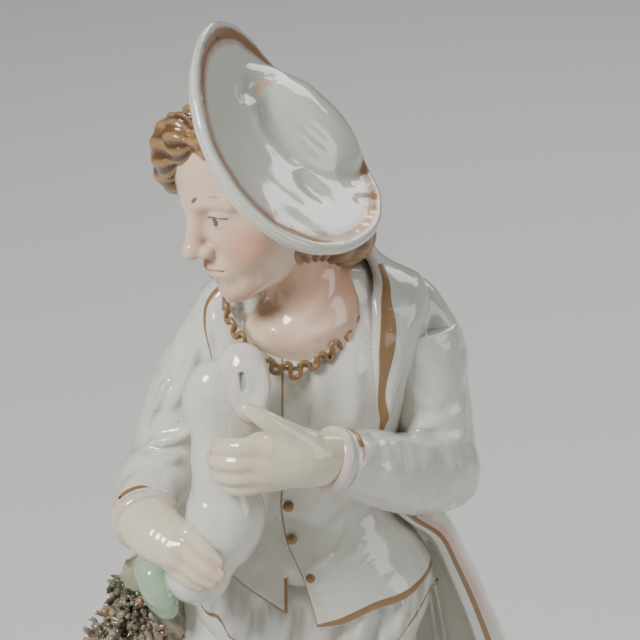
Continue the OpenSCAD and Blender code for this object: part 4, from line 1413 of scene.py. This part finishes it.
def hair_glaze():
    paint = Paint("hair_glaze")
    streak = paint.step(paint.attribute("strand"), -0.6, 0.9)
    colour = paint.mix(streak, (0.10, 0.055, 0.025, 1), (0.32, 0.19, 0.09, 1))
    colour = paint.mix(paint.times(paint.step(paint.noise(4, 2, 2.0), 0.45, 0.75), 0.6), colour,
                       (0.45, 0.26, 0.10, 1))
    paint.bump(paint.noise(1.2, 2), 0.2, 0.1)
    return paint.finish(colour, 0.16, 0.0, 0.5)


def gilding():
    paint = Paint("gilding")
    colour, metal, rough = gild(paint, GOLD_WORN, 1.0, 0.45)
    paint.bump(paint.noise(0.8, 2), 0.3, 0.08)
    return paint.finish(colour, rough, metal, 0.1)


def gilt_frill():
    paint = Paint("gilt_frill")
    colour = white_body(paint)
    colour, metal, rough = gild(paint, colour, paint.step(paint.attribute("gilt"), -0.1, 0.1), 0.3)
    paint.bump(paint.noise(1.2, 2), 0.3, 0.08)
    return paint.finish(colour, rough, metal, 0.3)


def pink_glaze():
    paint = Paint("pink_glaze")
    colour = white_body(paint)
    colour = paint.mix(paint.times(paint.attribute("pink"), 0.85), colour, PINK)
    gilt = paint.step(paint.attribute("gilt"), -0.05, 0.15)
    colour, metal, rough = gild(paint, colour, gilt, 0.4)
    paint.bump(paint.noise(2.0, 2), 0.3, 0.1)
    return paint.finish(colour, rough, metal, 0.5)


def celadon_glaze():
    paint = Paint("celadon_glaze")
    pool = paint.step(paint.attribute("pool"), 0.1, 0.8)
    colour = paint.mix(paint.noise(3, 3), (0.26, 0.40, 0.27, 1), (0.42, 0.54, 0.38, 1))
    # Painted shade with glaze pooling: hollows mixed towards a dark green
    colour = paint.mix(paint.times(pool, 0.6), colour, (0.20, 0.25, 0.16, 1))
    paint.bump(paint.noise(2.0, 2), 0.25, 0.1)
    return paint.finish(colour, 0.12, 0.0, 0.6)


def rock_glaze():
    paint = Paint("rock_glaze")
    pool = paint.step(paint.attribute("pool"), 0.05, 0.8)
    colour = paint.mix(paint.step(paint.noise(6, 3, 1.0), 0.4, 0.6), (0.42, 0.36, 0.26, 1),
                       (0.30, 0.31, 0.20, 1))
    colour = paint.mix(paint.step(paint.noise(9, 2, 7.0), 0.56, 0.66), colour, (0.40, 0.36, 0.27, 1))
    colour = paint.mix(paint.step(paint.noise(4, 2, 15.0), 0.62, 0.7), colour, (0.45, 0.24, 0.10, 1))
    # Painted shade with glaze pooling: crevices mixed towards near black
    colour = paint.mix(paint.times(pool, 0.8), colour, (0.10, 0.08, 0.05, 1))
    paint.bump(paint.noise(0.8, 3), 0.5, 0.2)
    return paint.finish(colour, 0.2, 0.0, 0.5)


def moss_glaze():
    paint = Paint("moss_glaze")
    tone = paint.attribute("tone")
    colour = paint.mix(paint.step(tone, 0.2, 0.35), (0.08, 0.07, 0.04, 1), (0.15, 0.14, 0.09, 1))
    colour = paint.mix(paint.step(tone, 0.5, 0.56), colour, (0.26, 0.22, 0.16, 1))
    colour = paint.mix(paint.step(tone, 0.8, 0.85), colour, (0.20, 0.13, 0.07, 1))
    colour = paint.mix(paint.step(tone, 0.95, 0.97), colour, (0.36, 0.20, 0.11, 1))
    paint.bump(paint.noise(0.7, 2), 0.3, 0.1)
    return paint.finish(colour, 0.18, 0.0, 0.5)


def shoe_glaze():
    paint = Paint("shoe_glaze")
    pool = paint.step(paint.attribute("pool"), 0.1, 0.8)
    colour = paint.mix(paint.noise(4, 2), (0.025, 0.02, 0.018, 1), (0.05, 0.04, 0.035, 1))
    colour = paint.mix(paint.times(pool, 0.5), colour, (0.12, 0.07, 0.04, 1))
    paint.bump(paint.noise(2.0, 2), 0.3, 0.1)
    return paint.finish(colour, 0.1, 0.0, 0.6)


# ---------------------------------------------------------------- building the pieces
QUICK = 1.0


def reach(node, margin):
    """The corners of a box round a CAD node, in millimetres, with a margin."""
    low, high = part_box(node)
    return vec(*(np.array(low) / METRE - margin)), vec(*(np.array(high) / METRE + margin))


def pooling_and_shade_depth(field, verts, normals):
    """How much a spot is hemmed in by its surroundings, from 0 in the open to about 1 in a groove."""
    total = np.zeros(len(verts), np.float32)
    for away in (0.6, 1.4):
        rise = field(verts + normals * away) / away
        total += 0.5 * np.clip(1 - rise, 0, 1.2)
    return total


LINES = ("gilt", "slit_shadow", "brow", "lips", "lash", "iris", "mouth")


def sculpt(spec):
    _, node, _, field, h, margin, paint = spec
    low, high = reach(node, margin)
    verts, quads, normals = skin(field, low, high, h * QUICK)
    marks = {line: np.full(len(verts), -9, np.float32) for line in LINES}
    # pool mark: how far each spot sits in a hollow; the glazes darken there, partly for glaze pooling and
    # partly as painted shade
    marks["pool"] = pooling_and_shade_depth(field, verts, normals)
    if paint:
        marks.update(paint(verts))
    return spec, verts, quads, marks


def add_piece(name, node, slot, verts, faces, marks):
    """A mesh piece that rides the body, stands in for its CAD node and wears its slot's finish."""
    mesh = bpy.data.meshes.new(name)
    count, sides = faces.shape
    mesh.vertices.add(len(verts))
    mesh.vertices.foreach_set("co", (verts * METRE).astype(np.float32).ravel())
    mesh.loops.add(count * sides)
    mesh.loops.foreach_set("vertex_index", faces.astype(np.int32).ravel())
    mesh.polygons.add(count)
    mesh.polygons.foreach_set("loop_start", np.arange(0, count * sides, sides, dtype=np.int32))
    mesh.polygons.foreach_set("use_smooth", np.ones(count, bool))
    mesh.update(calc_edges=True)
    mesh.validate()
    for key, values in marks.items():
        layer = mesh.attributes.new(key, "FLOAT", "POINT")
        layer.data.foreach_set("value", values.astype(np.float32))
    mesh.materials.append(FINISHES[slot])
    obj = bpy.data.objects.new(name, mesh)
    bpy.context.scene.collection.objects.link(obj)
    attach(obj, "root")
    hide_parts(node)


def worms(root, bend, tip, thick):
    """Crooked little rolls of clay, each a tube of quads round a bent line."""
    sides, rings = WORM_SIDES, WORM_RINGS
    t = np.linspace(0, 1, rings)
    line = ((1 - t)[None, :, None] ** 2 * root[:, None] + 2 * (t * (1 - t))[None, :, None] * bend[:, None]
            + t[None, :, None] ** 2 * tip[:, None])
    along = tip - root
    along /= np.linalg.norm(along, axis=1)[:, None]
    side = np.cross(along, vec(0.3, 0.2, 0.9))
    side /= np.linalg.norm(side, axis=1)[:, None]
    other = np.cross(along, side)
    size = thick[:, None] * np.sqrt(np.clip(1 - (2 * t - 1) ** 6, 0.004, 1))[None]
    a = np.arange(sides) / sides * 2 * math.pi
    ring = (side[:, None, None] * np.cos(a)[None, None, :, None]
            + other[:, None, None] * np.sin(a)[None, None, :, None])
    points = line[:, :, None] + ring * size[:, :, None, None]
    n = len(root)
    verts = points.reshape(-1, 3)
    grid = np.arange(n * rings * sides).reshape(n, rings, sides)
    a0, a1 = grid[:, :-1], grid[:, 1:]
    faces = np.stack([a0, np.roll(a0, -1, 2), np.roll(a1, -1, 2), a1], -1).reshape(-1, 4)
    return verts.astype(np.float32), faces


frill_field, frill_paint = make_frill()


def strand_marks(p):
    return {"strand": hair_lines(in_head(p))}


def curl_marks(p):
    q = in_head(p)
    best, wave = None, None
    for path in CURLS:
        d, w = curl(q, path, 5)
        if best is None:
            best, wave = d, w
        else:
            wave = np.where(d < best, w, wave)
            best = np.minimum(best, d)
    return {"strand": wave}


SPECS = [
    ("base_mound", "base", "rock_glaze", base_field, COARSE, 3, None),
    ("stump_rock", "rock_stump", "rock_glaze", stump_field, COARSE, 4, None),
    ("celadon_stone", "green_stone", "celadon_glaze", green_stone_field, FINE, 5, None),
    ("left_shoe_glazed", "left_shoe", "shoe_glaze", left_shoe_field, MIDDLE, 3, None),
    ("right_shoe_glazed", "right_shoe", "shoe_glaze", right_shoe_field, MIDDLE, 3, None),
    ("buckles_gilt", "shoe_buckles", "gilding", buckles_field, FINE, 3, None),
    ("left_stocking_glazed", "left_stocking", "white_glaze", left_stocking_field, MIDDLE, 3, None),
    ("right_stocking_glazed", "right_stocking", "white_glaze", right_stocking_field, MIDDLE, 3, None),
    ("breeches_glazed", "breeches", "white_glaze", breeches_field, MIDDLE, 5, breeches_paint),
    ("waistcoat", "torso", "white_glaze", torso_field, MIDDLE, 4, waistcoat_paint),
    ("waistcoat_left_hem", "waistcoat_left_flap", "white_glaze", left_flap_field, MIDDLE, 5, waistcoat_paint),
    ("waistcoat_right_hem", "waistcoat_right_flap", "white_glaze", right_flap_field, MIDDLE, 5,
     waistcoat_paint),
    ("buttons_gilt", "waistcoat_buttons", "gilding", buttons_field, FINE, 5, None),
    ("coat_back_panel", "coat_back", "white_glaze", coat_back_field, COARSE, 7, coat_paint),
    ("coat_left_panel", "coat_left_front", "white_glaze", coat_left_field, MIDDLE, 8, coat_paint),
    ("coat_right_panel", "coat_right_front", "white_glaze", coat_right_field, MIDDLE, 8, coat_paint),
    ("left_sleeve_upper", "left_upper_sleeve", "white_glaze", left_upper_field, MIDDLE, 5, None),
    ("left_sleeve_fore", "left_forearm_sleeve", "white_glaze", left_forearm_field, MIDDLE, 5, None),
    ("left_cuff_rolled", "left_cuff", "pink_glaze", left_cuff_field, FINE, 5,
     cuff_paint(LEFT_WRIST, LEFT_WAY)),
    ("left_hand_painted", "left_hand", "flesh_glaze", left_hand_field, FINE, 5, hand_paint(LEFT_FINGERS)),
    ("right_sleeve_upper", "right_upper_sleeve", "white_glaze", right_upper_field, MIDDLE, 5, shoulder_paint),
    ("right_sleeve_fore", "right_forearm_sleeve", "white_glaze", right_forearm_field, MIDDLE, 5, None),
    ("right_cuff_rolled", "right_cuff", "pink_glaze", right_cuff_field, FINE, 5,
     cuff_paint(RIGHT_WRIST, RIGHT_WAY)),
    ("right_hand_painted", "right_hand", "flesh_glaze", right_hand_field, FINE, 5, hand_paint(RIGHT_FINGERS)),
    ("neck_painted", "neck", "flesh_glaze", neck_field, MIDDLE, 5, neck_paint),
    ("frill_gilt", "neck_frill", "gilt_frill", frill_field, FINE, 5, frill_paint),
    ("head_painted", "head", "flesh_glaze", head_field, FINE, 4, head_paint),
    ("hair_combed", "hair_back", "hair_glaze", hair_back_field, FINE, 4, strand_marks),
    ("hair_curls", "hair_front_curls", "hair_glaze", curls_field, FINE, 5, curl_marks),
    ("hat_crown_glazed", "hat_crown", "hat_glaze", hat_crown_field, MIDDLE, 5, hat_paint),
    ("hat_brim_glazed", "hat_brim", "hat_glaze", hat_brim_field, MIDDLE, 5, hat_paint),
    ("sack_soft", "sack", "white_glaze", sack_field, MIDDLE, 5, None),
    ("sack_mouth_flared", "sack_mouth", "pink_glaze", sack_mouth_field, FINE, 5, mouth_paint),
]

FINISHES = {make.__name__: make() for make in (
    white_glaze, hat_glaze, flesh_glaze, hair_glaze, gilding, gilt_frill, pink_glaze, celadon_glaze,
    rock_glaze, moss_glaze, shoe_glaze)}

with ThreadPoolExecutor(WORKERS) as pool:
    for spec, verts, quads, marks in pool.map(sculpt, SPECS):
        add_piece(*spec[:3], verts, quads, marks)

root, bend, tip, thick = moss_lines()
verts, faces = worms(root, bend, tip, thick)
tones = np.repeat(np.random.default_rng(TONE_SEED).random(len(root)), WORM_SIDES * WORM_RINGS)
add_piece("moss_shreds", "mossy_shreds", "moss_glaze", verts, faces, {"tone": tones})


# ---------------------------------------------------------------- floor, lights and camera
FLOOR_HALF = 1.5
AIM = (0, 0, 0.13)
# name, place, size and power of each soft light
LIGHTS = [
    ("key", (-0.38, -0.34, 0.62), (0.22, 0.22), 6.0),
    ("fill", (0.6, -0.25, 0.35), (0.3, 0.5), 1.3),
    ("back", (0.25, 0.5, 0.55), (0.5, 0.3), 2.0),
]
SKY = (0.85, 0.87, 0.9, 1)
SKY_STRENGTH = 0.13
ELEVATION = math.radians(25)
DISTANCE = 0.42
LENS = 160
SENSOR = 36
TARGET = Vector((0.003, -0.006, 0.150))


def floor():
    mesh = bpy.data.meshes.new("floor")
    s = FLOOR_HALF
    mesh.from_pydata([(-s, -s, 0), (s, -s, 0), (s, s, 0), (-s, s, 0)], [], [(0, 1, 2, 3)])
    obj = bpy.data.objects.new("floor", mesh)
    bpy.context.scene.collection.objects.link(obj)
    paint = Paint("floor_paint")
    mesh.materials.append(paint.finish((0.74, 0.73, 0.71, 1), 0.6, 0.0, 0.0))


def area_light(name, place, size, power):
    data = bpy.data.lights.new(name, "AREA")
    data.shape = "RECTANGLE"
    data.size, data.size_y = size
    data.energy = power
    obj = bpy.data.objects.new(name, data)
    obj.location = place
    obj.rotation_euler = (Vector(AIM) - Vector(place)).to_track_quat("-Z", "Y").to_euler()
    bpy.context.scene.collection.objects.link(obj)


def sky():
    world = bpy.data.worlds.new("studio")
    world.use_nodes = True
    background = world.node_tree.nodes["Background"]
    background.inputs["Color"].default_value = SKY
    background.inputs["Strength"].default_value = SKY_STRENGTH
    bpy.context.scene.world = world


def camera():
    data = bpy.data.cameras.new("camera")
    data.lens = LENS
    data.sensor_width = SENSOR
    data.clip_start = 0.01
    obj = bpy.data.objects.new("camera", data)
    back = Vector((0, -math.cos(ELEVATION), math.sin(ELEVATION)))
    obj.location = TARGET + back * DISTANCE
    obj.rotation_euler = (-back).to_track_quat("-Z", "Y").to_euler()
    bpy.context.scene.collection.objects.link(obj)
    bpy.context.scene.camera = obj


floor()
for light in LIGHTS:
    area_light(*light)
sky()
camera()
